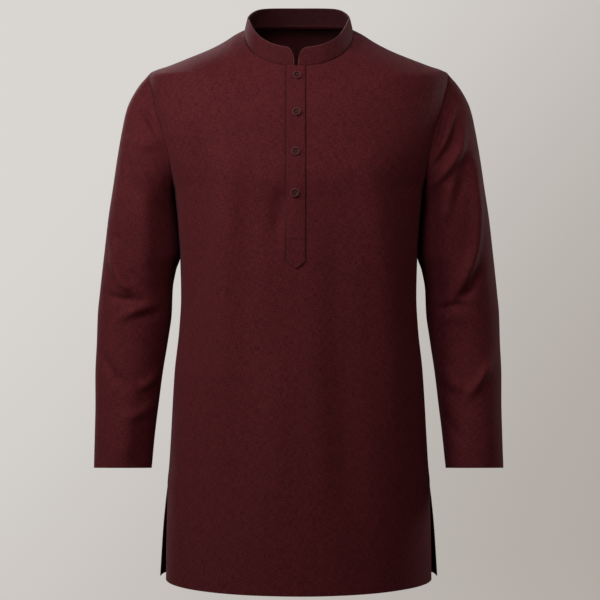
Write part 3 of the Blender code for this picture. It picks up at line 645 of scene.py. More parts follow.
def cloth_finish(name, colour, edge_width=0.0, edge_colour=None):
    """Plain weave in two-tone yarn: flecks drawn out along warp and weft, a fine weave relief and a soft
    sheen. A folded edge can be painted paler, as a painted highlight, or darker, as a dark seam with
    painted groove shade."""
    finish = Finish(name)
    flat = finish.node("ShaderNodeUVMap", {"uv_map": "flat_cloth"})

    def flecks(scale):
        stretched = finish.node("ShaderNodeMapping", inputs={"Vector": flat, "Scale": (*scale, 1.0)})
        return finish.node(
            "ShaderNodeTexNoise", {"noise_dimensions": "2D"},
            {"Vector": stretched, "Scale": 1.0, "Detail": FLECK_DETAIL})

    def yarn_waves(axis):
        place = finish.node("ShaderNodeSeparateXYZ", inputs={0: flat}, output=axis)
        return finish.node("ShaderNodeMath", {"operation": "SINE"}, {0: place * YARN_TURNS})

    weft = flecks(WEFT_FLECKS)
    warp = flecks(WARP_FLECKS)
    cloud = flecks(CLOUD_FLECKS)
    tone = (weft + warp) * 0.5 + (cloud - 0.5) * CLOUD_SHARE
    stops = [(DARK_YARN, (0.0, 0.0, 0.0, 1.0)), (PALE_YARN, (1.0, 1.0, 1.0, 1.0))]
    shade = finish.node("ShaderNodeValToRGB", {"stops": stops}, {0: tone})
    dark = shade_of(colour, 1.0 - FLECK_CONTRAST)
    pale = shade_of(colour, 1.0 + FLECK_CONTRAST, FLECK_PALENESS * FLECK_CONTRAST)
    cloth_colour = finish.mix(shade, dark, pale)
    if edge_width:
        edge_map = finish.node("ShaderNodeUVMap", {"uv_map": "from_edge"})
        distance = finish.node("ShaderNodeSeparateXYZ", inputs={0: edge_map}, output=0)
        nearness = finish.node(
            "ShaderNodeMapRange", {"interpolation_type": "SMOOTHSTEP"},
            {"Value": distance, "From Min": edge_width, "From Max": edge_width * EDGE_CORE,
             "To Min": 0.0, "To Max": 1.0})
        cloth_colour = finish.mix(nearness, cloth_colour, (*edge_colour, 1.0))
    # Painted shade: the inner faces of every piece are coloured darker, standing in for the shade inside
    # the garment.
    inside_painted_shade = finish.node("ShaderNodeAttribute", {"attribute_name": "inside_painted_shade"}, output=2)
    shaded_inside_colour = finish.mix(1.0, cloth_colour, (INSIDE_PAINTED_SHADE_SHARE,) * 3 + (1.0,), blend="MULTIPLY")
    relief = yarn_waves(0) * yarn_waves(1) + (weft + warp) * SLUB_HEIGHT
    finish.feed(finish.shader, {
        "Base Color": finish.mix(inside_painted_shade, cloth_colour, shaded_inside_colour),
        "Normal": finish.node(
            "ShaderNodeBump", inputs={"Strength": 0.6, "Distance": WEAVE_HEIGHT, "Height": relief}),
        "Roughness": 0.86 - weft * 0.10, "Specular IOR Level": 0.25,
        "Sheen Weight": 0.09, "Sheen Roughness": 0.45, "Sheen Tint": SHEEN_TINT,
    })
    return finish


BODY_COLOUR = (0.150, 0.0172, 0.0210)
body_finish = cloth_finish("maroon_body_cloth", BODY_COLOUR)

FRONT_DRAPE = 0.4
front_cloth = panel_grid(FRONT, FRONT_FOLDS, FRONT_DRAPE)
front_levels = front_cloth[0][:-1, :-1, 2]
opening_column = NECK_COLUMNS + SHOULDER_COLUMNS + FRONT.centre_columns.index(OPENING_LEFT)
front_opening = np.zeros(front_levels.shape, dtype=bool)
front_opening[front_levels[:, opening_column] > OPENING_END, opening_column] = True
front_panel = cloth_piece(
    "front_panel", front_cloth, CLOTH, body_finish, "body_cloth", ["front"], left_out=front_opening)

# Back
# The other body panel, of the same cloth, cut whole. Side seams join it to the front down to the slits,
# below which both hang free. Its folds run down from the shoulder blades and in from the armholes.
BACK_FOLDS = [
    ([(160, -190), (120, -240), (85, -310)], 18, -3.6),
    ([(-166, -200), (-128, -255), (-90, -330)], 19, -3.8),
    ([(104, -250), (90, -400), (86, -560), (92, -740)], 27, 4),
    ([(-112, -270), (-94, -420), (-92, -590), (-100, -760)], 26, 4.4),
    ([(52, -330), (46, -470), (48, -640)], 23, -3.4),
    ([(-40, -360), (-36, -500), (-44, -700)], 24, -3.6),
    ([(6, -420), (10, -560), (4, -780)], 20, 1.4),
    ([(142, -420), (140, -540), (146, -700)], 18, -1.8),
    ([(-146, -440), (-144, -570), (-150, -720)], 18, -2),
    ([(-60, -130), (-20, -142), (30, -136)], 14, -1),
]
BACK_DRAPE = 2.1
back_grid, back_u, back_v = panel_grid(BACK, BACK_FOLDS, BACK_DRAPE)
back_cloth = (back_grid[:, ::-1], back_u[:, ::-1], back_v)
back_panel = cloth_piece("back_panel", back_cloth, CLOTH, body_finish, "body_cloth", ["back"])

# Sleeves
# Two long set-in sleeves, each one piece of the same cloth closed by a seam along the underside and left
# open at a plain cuff. They bend a little at the elbow, where the cloth folds across the arm's inner side.
SLEEVE_RINGS = 176
SLEEVE_COLUMNS = 92
ARMHOLE_FADE_RINGS = 6.0
ARMHOLE_STEPS = np.array((0.02, 0.045))
UNDERARM_STEPS = np.array((0.012, 0.030))
FLAT_BY_ARMHOLE = 0.018
FLAT_BY_CUFF = 0.03
CUFF_FLATNESS = 0.8
FOLD_FACING_POWER = 0.7
UNDERARM_ROLL_SHARE = 0.6
SLEEVE_DRAPE_TURN = 0.05
SleeveRing = namedtuple("SleeveRing", "outer_x outer_z inner_x inner_z half_depth centre_y cuff_tilt")
SLEEVE = [SleeveRing(*row) for row in (
    (0.2290, -0.065, 0.1915, -0.245, 0.066, 0.000, 0.0),
    (0.2470, -0.086, 0.1910, -0.247, 0.067, 0.000, 0.0),
    (0.2640, -0.119, 0.1905, -0.250, 0.068, 0.000, 0.0),
    (0.2720, -0.155, 0.1899, -0.254, 0.068, 0.000, 0.0),
    (0.2790, -0.195, 0.1890, -0.262, 0.067, 0.001, 0.0),
    (0.2860, -0.240, 0.1876, -0.275, 0.065, 0.002, 0.0),
    (0.2940, -0.290, 0.1851, -0.300, 0.064, 0.003, 0.0),
    (0.3000, -0.340, 0.1827, -0.342, 0.062, 0.005, 0.0),
    (0.3033, -0.3715, 0.1905, -0.370, 0.061, 0.005, 0.0),
    (0.3065, -0.404, 0.1954, -0.400, 0.059, 0.005, 0.0),
    (0.3092, -0.4365, 0.1965, -0.435, 0.057, 0.003, 0.0),
    (0.3100, -0.480, 0.2020, -0.478, 0.054, -0.001, 0.02),
    (0.3115, -0.528, 0.2092, -0.526, 0.052, -0.007, 0.05),
    (0.3108, -0.579, 0.2150, -0.577, 0.049, -0.014, 0.08),
    (0.3112, -0.618, 0.2195, -0.617, 0.047, -0.019, 0.11),
    (0.3120, -0.671, 0.2243, -0.671, 0.044, -0.025, 0.125),
)]

# Folds of the wearer's right sleeve, front and back, x counted outwards from the middle of the body
RIGHT_SLEEVE_FRONT = [
    ([(242, -128), (229, -136), (214, -166)], 4.8, -6.5),
    ([(252, -172), (232, -182), (209, -178)], 9.5, 5.5),
    ([(253, -172), (243, -210), (224, -248), (194, -282)], 7.8, 5.6),
    ([(260, -165), (255, -200), (250, -230)], 7, -2),
    ([(231, -235), (230, -305), (228, -375)], 13, 5),
    ([(286, -322), (276, -321), (266, -326)], 5.5, -3.2),
    ([(283, -328), (277, -360), (264, -390), (244, -406)], 7.2, 8),
    ([(269, -335), (262, -368), (240, -394)], 7, -5),
    ([(292, -404), (272, -413), (244, -416)], 5.2, -5.5),
    ([(274, -446), (254, -435), (236, -427), (216, -423)], 7.2, 5),
    ([(244, -440), (224, -438), (206, -430)], 6, -3.2),
    ([(299, -494), (284, -521), (262, -545)], 6.2, -7.4),
    ([(243, -549), (227, -540), (213, -520)], 6.5, 5.5),
    ([(256, -592), (234, -583), (218, -566)], 7.8, 4.7),
    ([(254, -560), (256, -615), (258, -690)], 13, 5.5),
]
RIGHT_SLEEVE_BACK = [
    ([(240, -135), (222, -165), (210, -205)], 9, -3),
    ([(276, -328), (262, -372), (234, -400)], 11, 4.2),
    ([(272, -404), (250, -413), (224, -408)], 8, -4.2),
    ([(288, -432), (262, -438), (232, -434)], 10, 3),
    ([(286, -240), (270, -300), (262, -350)], 14, 2.4),
    ([(290, -500), (272, -528), (246, -548)], 9, -2.6),
    ([(222, -590), (244, -602), (270, -600)], 10, -1.4),
]
# Folds of the wearer's left sleeve
LEFT_SLEEVE_FRONT = [
    ([(232, -112), (217, -132), (212, -160), (203, -192)], 5.8, -9.7),
    ([(236, -122), (227, -152), (220, -178), (204, -202)], 5.5, 5.4),
    ([(241, -136), (230, -172), (214, -202), (198, -222)], 5, -4.2),
    ([(251, -156), (244, -187), (230, -210), (215, -229), (197, -252)], 7, 6.8),
    ([(253, -185), (248, -227), (234, -268)], 7.8, -3.8),
    ([(231, -234), (226, -265), (217, -305)], 7.5, 6.6),
    ([(265, -205), (269, -280), (267, -325), (260, -356), (248, -386), (227, -420)], 8, 9),
    ([(266, -190), (268, -240), (269, -300)], 9, 3.5),
    ([(278, -360), (262, -394), (237, -419)], 7, -5.9),
    ([(203, -436), (226, -424), (245, -422), (260, -430)], 4.6, -4.5),
    ([(210, -448), (234, -441), (260, -446)], 8, 2.8),
    ([(252, -562), (273, -534), (293, -502)], 6.6, 6.6),
    ([(217, -512), (234, -539), (253, -553)], 6.2, 4.2),
    ([(204, -534), (222, -552), (242, -565)], 6.6, -4.2),
    ([(213, -578), (230, -605), (247, -629)], 6.6, -4.2),
]
LEFT_SLEEVE_BACK = [
    ([(238, -130), (220, -160), (208, -200)], 9, -3.2),
    ([(282, -318), (268, -362), (238, -398)], 11, 4.4),
    ([(274, -402), (250, -411), (226, -406)], 8, -4.2),
    ([(290, -430), (264, -437), (230, -432)], 10, 3),
    ([(290, -230), (274, -280), (264, -330)], 14, 2.2),
    ([(292, -506), (274, -534), (250, -552)], 9, -2.6),
    ([(224, -600), (246, -610), (272, -606)], 10, -1.4),
]


def armhole_points(angle):
    """Points of the body's armhole edge, by the angle round from the shoulder to the front."""
    level = ARMPIT_LEVEL + (SHOULDER_LEVEL - ARMPIT_LEVEL) * (1.0 + np.cos(angle)) / 2
    x = armhole_half(level)
    before = np.sin(angle) >= 0.0
    return np.where(before[:, None], body_points(FRONT, x, level), body_points(BACK, x, level))


def sleeve_grid(side, front_folds, back_folds, seed):
    """Rings of a sleeve from the armhole down to the cuff, columns round from the underarm seam."""
    stations = np.arange(len(SLEEVE))
    station = np.linspace(0.0, len(SLEEVE) - 1.0, SLEEVE_RINGS + 1)
    station = np.concatenate((
        station[:1], ARMHOLE_STEPS, station[1:-1], station[-1] - ARMHOLE_STEPS[::-1] / 2, station[-1:]))
    ring = {}
    for field in SleeveRing._fields:
        ring[field] = smooth_curve(stations, [getattr(row, field) for row in SLEEVE])(station)[:, None]
    angle = np.linspace(math.pi, 3.0 * math.pi, SLEEVE_COLUMNS + 1)[:-1]
    angle = np.concatenate((
        angle[:1], angle[0] + UNDERARM_STEPS, angle[1:], 3.0 * math.pi - UNDERARM_STEPS[::-1]))
    cosine, depth = np.cos(angle), -np.sin(angle)

    def between(outer, inner):
        return (ring[outer] + ring[inner]) / 2 + (ring[outer] - ring[inner]) / 2 * cosine

    x = between("outer_x", "inner_x")
    y = ring["centre_y"] + ring["half_depth"] * depth
    z = between("outer_z", "inner_z") - ring["cuff_tilt"] * ring["half_depth"] * depth
    pull = fade(station / ARMHOLE_FADE_RINGS)[:, None]
    x, y, z = (run + pull * (edge - run[0]) for run, edge in zip((x, y, z), armhole_points(angle).T))
    grid = np.stack((x, y, z), axis=-1)
    closed = np.concatenate((grid, grid[:, :1]), axis=1)
    round_lengths = lengths_along(closed, axis=1)
    down_lengths = lengths_along(grid, axis=0)
    relief = np.where(depth < 0.0, fold_relief(front_folds, x, z), fold_relief(back_folds, x, z))
    relief = relief * np.abs(depth) ** FOLD_FACING_POWER + drape(angle * SLEEVE_DRAPE_TURN, z, seed)
    relief *= 1.0 - fade(down_lengths / FLAT_BY_ARMHOLE)
    relief *= 1.0 - CUFF_FLATNESS * fade((down_lengths[-1] - down_lengths) / FLAT_BY_CUFF)
    from_seam = np.minimum(round_lengths[:, :-1], round_lengths[:, [-1]] - round_lengths[:, :-1])
    relief += seam_roll(down_lengths) + UNDERARM_ROLL_SHARE * seam_roll(from_seam)
    wrapped = np.concatenate((grid[:, -1:], grid, grid[:, :1]), axis=1)
    outward = grid_normals(wrapped)[:, 1:-1]
    centre = grid.mean(axis=1, keepdims=True)
    turned = np.sign(np.sum(outward * (grid - centre), axis=(1, 2)).mean())
    grid = grid + turned * outward * relief[..., None]
    grid[..., 0] *= side
    flat_u = round_lengths - round_lengths[:, [-1]] / 2
    flat_v = -np.broadcast_to(down_lengths.mean(axis=1, keepdims=True), flat_u.shape)
    return grid, flat_u, flat_v


sleeve_finish = cloth_finish("maroon_sleeve_cloth", BODY_COLOUR)
for name, node, side, front_folds, back_folds, seed in (
    ("left_sleeve", "sleeve_left", 1, LEFT_SLEEVE_FRONT, LEFT_SLEEVE_BACK, 0.9),
    ("right_sleeve", "sleeve_right", -1, RIGHT_SLEEVE_FRONT, RIGHT_SLEEVE_BACK, 3.2),
):
    grid, flat_u, flat_v = sleeve_grid(side, front_folds, back_folds, seed)
    if side < 0:
        grid = np.concatenate((grid[:, :1], grid[:, :0:-1]), axis=1)
        flat_u = flat_u[:, ::-1]
    sleeve = cloth_piece(
        name, (grid, flat_u, flat_v), CLOTH, sleeve_finish, "sleeve_cloth", [node], closed=True)

# Collar
# A standing band of the same cloth, doubled and pressed flat, sewn round the neckline. It leans in a little
# towards the neck, and its two ends stop either side of a narrow gap in front, each with a rounded corner.
COLLAR_CLOTH = 0.0022
COLLAR_HEIGHT = 0.0283
COLLAR_LEAN = 0.0070
COLLAR_SIDE_DIP = 0.0100
COLLAR_DIP_DEPTH = 0.004
COLLAR_DIP_FRONT = 0.022
COLLAR_DIP_BACK = 0.034
COLLAR_TUCK = 0.0015
COLLAR_LEAN_POWER = 1.25
COLLAR_FOOT_STEPS = (0.025, 0.05)
COLLAR_FOOT_ROLL = 0.6
COLLAR_FLOW_ROUNDS = 6
COLLAR_ROUNDING = 0.0009
# Painted highlight: the collar's top edge and ends are coloured paler, standing in for light caught on the
# rolled fold.
EDGE_HIGHLIGHT_WIDTH = 0.0017
CORNER_WIDTH = 0.0135
CORNER_DROP = 0.0225
COLLAR_ROWS = 16
COLLAR_QUARTER = 44
CORNER_STEPS = (0.0, 0.0003, 0.0008, 0.0016, 0.0027, 0.0042, 0.0060, 0.0082, 0.0108, 0.0135)
# The collar is the body's cloth coloured about a fifth darker, painted shade on the collar.
COLLAR_PAINTED_SHADE_COLOUR = (0.118, 0.0134, 0.0164)
EDGE_HIGHLIGHT_COLOUR = (0.190, 0.060, 0.058)


def neck_line(face, start, end):
    """Points along the neckline of one face, between two distances from the centre."""
    angles = np.linspace(math.asin(start / NECK_HALF), math.asin(end / NECK_HALF), COLLAR_QUARTER * 2)
    return body_points(face, NECK_HALF * np.sin(angles), -face.neck_drop * np.cos(angles))


def collar_grid():
    """Rows of the band from just under the neck seam up to its folded top edge, from end to end."""
    seam = np.concatenate((
        neck_line(FRONT, OPENING_RIGHT, NECK_HALF),
        neck_line(BACK, NECK_HALF, -NECK_HALF)[1:-1],
        neck_line(FRONT, -NECK_HALF, OPENING_LEFT),
    ))
    travelled = lengths_along(seam)
    total = travelled[-1]
    inner = np.linspace(CORNER_WIDTH, total - CORNER_WIDTH, COLLAR_QUARTER * 4)[1:-1]
    places = np.concatenate((CORNER_STEPS, inner, total - np.array(CORNER_STEPS[::-1])))
    base = np.stack([np.interp(places, travelled, seam[:, axis]) for axis in range(3)], axis=1)
    tangents = np.gradient(base, places, axis=0)
    for _ in range(COLLAR_FLOW_ROUNDS):
        tangents[1:-1] = (tangents[:-2] + 2 * tangents[1:-1] + tangents[2:]) / 4
    tangents[:, 2] = 0.0
    tangents /= np.linalg.norm(tangents, axis=1, keepdims=True)
    inward = np.stack((-tangents[:, 1], tangents[:, 0], np.zeros(len(base))), axis=1)
    from_end = np.minimum(places, total - places)
    short = np.clip(CORNER_WIDTH - from_end, 0.0, CORNER_WIDTH) / CORNER_WIDTH
    reach = np.where(base[:, 1] > COLLAR_DIP_DEPTH, COLLAR_DIP_BACK, COLLAR_DIP_FRONT)
    dip = COLLAR_SIDE_DIP * np.exp(-(((base[:, 1] - COLLAR_DIP_DEPTH) / reach) ** 2))
    height = COLLAR_HEIGHT - dip - CORNER_DROP * (1.0 - np.sqrt(1.0 - short ** 2))
    share = np.concatenate(((0.0,), COLLAR_FOOT_STEPS, np.linspace(0.0, 1.0, COLLAR_ROWS + 1)[1:]))
    rows = [base - np.array((0, 0, COLLAR_TUCK)) + inward * COLLAR_TUCK]
    for part in share:
        up = height * part
        inset = COLLAR_LEAN * (up / COLLAR_HEIGHT) ** COLLAR_LEAN_POWER - COLLAR_FOOT_ROLL * seam_roll(up)
        rows.append(base + np.outer(up + HALF_GAP, (0, 0, 1)) + inward * inset[:, None])
    grid = np.array(rows)
    flat_u = np.broadcast_to(places, grid.shape[:2])
    flat_v = lengths_along(grid, axis=0)
    return grid, flat_u, flat_v, np.minimum(flat_v[[-1]] - flat_v, from_end)


collar_finish = cloth_finish("maroon_collar_cloth", COLLAR_PAINTED_SHADE_COLOUR, EDGE_HIGHLIGHT_WIDTH, EDGE_HIGHLIGHT_COLOUR)
*collar_cloth, collar_from_edge = collar_grid()
collar = cloth_piece(
    "band_collar", collar_cloth, COLLAR_CLOTH, collar_finish, "collar_cloth", ["collar"],
    COLLAR_ROUNDING, from_edge=collar_from_edge)

# Placket
# A strip of folded cloth stitched over the front opening from the neck seam to a point, with a bar across
# it where the opening ends, and a second strip behind the opening that carries the buttons.
PLACKET_CLOTH = 0.0016
UNDER_PLACKET_CLOTH = 0.0012
PLACKET_TOP_DROP = 0.0006
PLACKET_TIP = -0.370
UNDER_PLACKET_END = -0.335
BAR_LEVEL = -0.3246
BAR_HEIGHT = 0.0011
BAR_TOP = BAR_LEVEL + 0.0030
BAR_BOTTOM = BAR_LEVEL - 0.0016
BAR_SLOPE = 0.0040
BAR_END = 0.0015
EDGE_ROUNDING_WIDTH = 0.0014
EDGE_ROUNDING_DEPTH = 0.0008
EDGE_ROUNDING_POWER = 1.6
STRIP_EDGE = (0.0, 0.0004, 0.0009, 0.0015, 0.0020, 0.0025, 0.0034)
STITCH_INSET = 0.0020
STITCH_GROOVE_DEPTH = 0.00022
STITCH_GROOVE_WIDTH = 0.00045
PLACKET_ROWS = 200
STRIP_MIDDLE_COLUMNS = 12
PLACKET_COLOUR = (0.146, 0.0166, 0.0204)
# The strips' stitched edges are coloured dark: partly the darker seam, partly painted shade of the groove
# beside them, narrower on the right side.
PLACKET_SEAM_AND_SHADE_COLOUR = (0.060, 0.0070, 0.0085)
PLACKET_SEAM_AND_SHADE_WIDTH = 0.0011
SURFACE_STEP = 0.0005
FLAT_BY_NECK = 0.03
RIGHT_SEAM_SHADE_SET = 0.0007
TIP_SEAM_SHADE_SET = 0.0003


def strip_columns():
    """Distances of the strip's columns from its left edge, closer together at both edges."""
    width = PLACKET_RIGHT - PLACKET_LEFT
    middle = np.linspace(STRIP_EDGE[-1], width - STRIP_EDGE[-1], STRIP_MIDDLE_COLUMNS)[1:-1]
    return np.concatenate((STRIP_EDGE, middle, width - np.array(STRIP_EDGE[::-1])))


def on_front(x, level):
    """Points and outward normals on the draped front at places on its centre."""
    here = body_points(FRONT, x, level)
    beside, above = (
        body_points(FRONT, x + right, level + up) - body_points(FRONT, x - right, level - up)
        for right, up in ((SURFACE_STEP, 0.0), (0.0, SURFACE_STEP)))
    normal = np.cross(beside, above)
    normal /= np.linalg.norm(normal, axis=-1, keepdims=True)
    relief = fold_relief(FRONT_FOLDS, here[..., 0], here[..., 2])
    relief += drape(here[..., 0], here[..., 2], FRONT_DRAPE)
    relief *= 1.0 - fade((np.abs(level) - FRONT_NECK_DROP) / FLAT_BY_NECK)
    return here + normal * relief[..., None], normal


def strip_surface(lift, side_end, middle_end, relief_at=None):
    """A strip over or behind the opening: points moved off the front along its normals."""
    distance = strip_columns()
    x = PLACKET_LEFT + distance
    top = -FRONT_NECK_DROP * np.sqrt(1.0 - (x / NECK_HALF) ** 2) - PLACKET_TOP_DROP
    half = (PLACKET_RIGHT - PLACKET_LEFT) / 2
    bottom = middle_end + (side_end - middle_end) * np.abs(distance - half) / half
    down = np.linspace(0.0, 1.0, PLACKET_ROWS + 1)[:, None]
    level = bottom + (top - bottom) * down
    points, normals = on_front(np.broadcast_to(x, level.shape), level)
    distance = np.broadcast_to(distance, level.shape)
    raised = np.full(level.shape, lift)
    if relief_at:
        raised += relief_at(distance, points[..., 2])
    grid = points + normals * raised[..., None]
    return grid, distance, lengths_along(grid, axis=0)


def placket_relief(distance, z):
    """Rounded edges, the sunk line of the edge stitching and the bar at the end of the opening."""
    from_edge = np.minimum(distance, PLACKET_RIGHT - PLACKET_LEFT - distance)
    at_edge = np.clip(1.0 - from_edge / EDGE_ROUNDING_WIDTH, 0.0, 1.0)
    rounded = -EDGE_ROUNDING_DEPTH * at_edge ** EDGE_ROUNDING_POWER
    groove = -STITCH_GROOVE_DEPTH * np.exp(-(((from_edge - STITCH_INSET) / STITCH_GROOVE_WIDTH) ** 2))
    bar = BAR_HEIGHT * np.clip((BAR_TOP - z) / BAR_SLOPE, 0.0, 1.0) * (z > BAR_BOTTOM)
    return rounded + groove + bar * np.clip(from_edge / BAR_END, 0.0, 1.0)


placket_finish = cloth_finish(
    "maroon_placket_cloth", PLACKET_COLOUR, PLACKET_SEAM_AND_SHADE_WIDTH, PLACKET_SEAM_AND_SHADE_COLOUR)
placket_cloth = strip_surface(
    2 * HALF_GAP + PLACKET_CLOTH, PLACKET_SIDE_END, PLACKET_TIP, placket_relief)
from_left, up_placket = placket_cloth[1:]
from_side = np.minimum(from_left, PLACKET_RIGHT - PLACKET_LEFT - from_left + RIGHT_SEAM_SHADE_SET)
placket = cloth_piece(
    "placket_strip", placket_cloth, PLACKET_CLOTH, placket_finish, "placket_cloth", ["placket"],
    from_edge=np.minimum(from_side, up_placket + TIP_SEAM_SHADE_SET))

under_cloth = strip_surface(-CLOTH - 2 * HALF_GAP, UNDER_PLACKET_END, UNDER_PLACKET_END)
under_placket = cloth_piece(
    "under_placket_strip", under_cloth, UNDER_PLACKET_CLOTH, placket_finish, "placket_cloth",
    ["placket_under"], from_edge=from_side)

# Stitching on the placket
# Maroon sewing thread, two millimetres in from the strip's edges and across its bar, and the close bars of
# thread round each upright buttonhole, most of it under the button.
THREAD_RADIUS = 0.00020
STITCH_LENGTH = 0.0023
STITCH_SPACE = 0.0032
STITCH_SINK = 0.00032
THREAD_COLOUR = (0.115, 0.0185, 0.0215)
THREAD_TWISTS = 1800.0
THREAD_SIDES = 6
LEFT_STITCH_TOP = -0.034
RIGHT_STITCH_TOP = -0.036
TIP_STITCH_LEVEL = PLACKET_TIP + STITCH_INSET * 1.3
BAR_STITCH_LEVELS = (BAR_LEVEL - 0.0034, BAR_LEVEL + 0.0040)
THREAD_PROFILE = ((-1.0, 0.25), (-0.85, 0.8), (-0.4, 1.0), (0.4, 1.0), (0.85, 0.8), (1.0, 0.25))


def placket_place(x, level):
    """Point and outward normal on the placket's outer face."""
    point, normal = on_front(np.array([x]), np.array([level]))
    return Vector(point[0] + normal[0] * (2 * HALF_GAP + PLACKET_CLOTH)), Vector(normal[0])


def stitch_verts(start, end, normal, sink):
    """Rings of one stitch: a short round bar whose ends dive into the cloth."""
    along = end - start
    side = along.normalized().cross(normal)
    rings = []
    for place, share in THREAD_PROFILE:
        height = THREAD_RADIUS * 0.5 - sink * place * place
        centre = (start + end) / 2 + along * place / 2 + normal * height
        for i in range(THREAD_SIDES):
            turn = 2 * math.pi * i / THREAD_SIDES
            rings.append(centre + (side * math.cos(turn) + normal * math.sin(turn)) * THREAD_RADIUS * share)
    return rings


def thread_mesh(name, stitches):
    """All the stitches of a seam in one mesh, each closed by a cap at both ends."""
    verts, faces = [], []
    for stitch in stitches:
        first = len(verts)
        verts += stitch_verts(*stitch)
        last = len(verts) - THREAD_SIDES
        for low in range(first, last, THREAD_SIDES):
            high = low + THREAD_SIDES
            for i in range(THREAD_SIDES):
                k = (i + 1) % THREAD_SIDES
                faces.append((low + i, high + i, high + k, low + k))
        faces.append([first + i for i in range(THREAD_SIDES)])
        faces.append([last + i for i in reversed(range(THREAD_SIDES))])
    mesh = bpy.data.meshes.new(name)
    mesh.from_pydata([tuple(v) for v in verts], [], faces)
    mesh.update()
    shape = bmesh.new()
    shape.from_mesh(mesh)
    bmesh.ops.recalc_face_normals(shape, faces=shape.faces)
    shape.to_mesh(mesh)
    shape.free()
    mesh.shade_smooth()
    return mesh


def stitch_line(places):
    """Stitches at an even spacing along a line of places on the placket."""
    line = np.array(places)
    travelled = lengths_along(line)
    stitches = []
    for i in range(int(travelled[-1] / STITCH_SPACE)):
        ends = np.array((i * STITCH_SPACE, i * STITCH_SPACE + STITCH_LENGTH))
        x, level = (np.interp(ends, travelled, line[:, axis]) for axis in range(2))
        (start, start_normal), (end, end_normal) = map(placket_place, x, level)
        stitches.append((start, end, (start_normal + end_normal).normalized(), STITCH_SINK))
    return stitches


thread_finish = Finish("maroon_sewing_thread")
thread_place = thread_finish.node("ShaderNodeTexCoord", output=3)
thread_twist = thread_finish.node(
    "ShaderNodeTexNoise", inputs={"Vector": thread_place, "Scale": THREAD_TWISTS})
thread_finish.feed(thread_finish.shader, {
    "Base Color": thread_finish.mix(
        thread_twist, shade_of(THREAD_COLOUR, 0.8), shade_of(THREAD_COLOUR, 1.25)),
    "Roughness": 0.55, "Sheen Weight": 0.1,
})


def sewn_thread(name, stitches):
    """The thread of one seam or button, sewn to the placket."""
    thread = new_object(name, thread_mesh(name, stitches))
    thread.data.materials.append(thread_finish.material)
    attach(thread, "root")


stitch_left = PLACKET_LEFT + STITCH_INSET
stitch_right = PLACKET_RIGHT - STITCH_INSET
stitch_tip = (PLACKET_LEFT + PLACKET_RIGHT) / 2
edge_stitches = stitch_line([
    (stitch_left, LEFT_STITCH_TOP), (stitch_left, PLACKET_SIDE_END), (stitch_tip, TIP_STITCH_LEVEL),
    (stitch_right, PLACKET_SIDE_END), (stitch_right, RIGHT_STITCH_TOP)])
for level in BAR_STITCH_LEVELS:
    edge_stitches += stitch_line([(stitch_left, level), (stitch_right, level)])
sewn_thread("placket_stitching", edge_stitches)

# Buttons
# Four round buttons of dark maroon-brown resin, turned with a raised rim and a sunk middle with four holes,
# each sewn through to the under placket and fastened through an upright buttonhole. The rim carries a
# painted highlight and the middle painted shade.
BUTTON_RADIUS = 0.006
BUTTON_THICKNESS = 0.0026
BUTTON_SIDES = 48
RIM_WIDTH = 0.0014
RIM_SLOPE = 0.0005
DISH_DEPTH = 0.0009
DISH_RING = 0.0016
DISH_STEP = 0.00012
BUTTON_ROUNDING = 0.00055
HOLE_RADIUS = 0.00090
HOLE_SPACING = 0.0015
HOLE_ANGLE = math.radians(45.0)
DRILL_SIDES = 16
SEAT_GAP = 0.0003
SEAT_ROUNDS = 12
# Painted light on the buttons: the rim is the resin's colour made paler as a painted highlight, and the
# sunk middle is painted shade, darkest in the ring round a less shaded centre.
RIM_RESIN_AND_HIGHLIGHT_COLOUR = (0.290, 0.086, 0.080)
DISH_PAINTED_SHADE_COLOUR = (0.032, 0.0050, 0.0048)
RIM_HIGHLIGHT_SET = 0.0002
LESS_SHADED_CENTRE_RADIUS = 0.0028
CENTRE_PAINTED_SHADE_SHARE = 0.4
STRAND_SHIFT = 0.00022
STRAND_LEVEL = BUTTON_THICKNESS - DISH_DEPTH - 0.0001
STRAND_SINK = 0.0004
BUTTONHOLE_HALF = 0.0078
BUTTONHOLE_INNER = 0.00028
BUTTONHOLE_OUTER = 0.0017
BUTTONHOLE_SPACING = 0.00042
BUTTONHOLE_SINK = 0.00016
ButtonPlace = namedtuple("ButtonPlace", "node x z")
BUTTONS = [
    ButtonPlace("button_1", -0.0024, -0.0840),
    ButtonPlace("button_2", -0.0031, -0.1406),
    ButtonPlace("button_3", -0.0043, -0.1990),
    ButtonPlace("button_4", -0.0056, -0.2600),
]


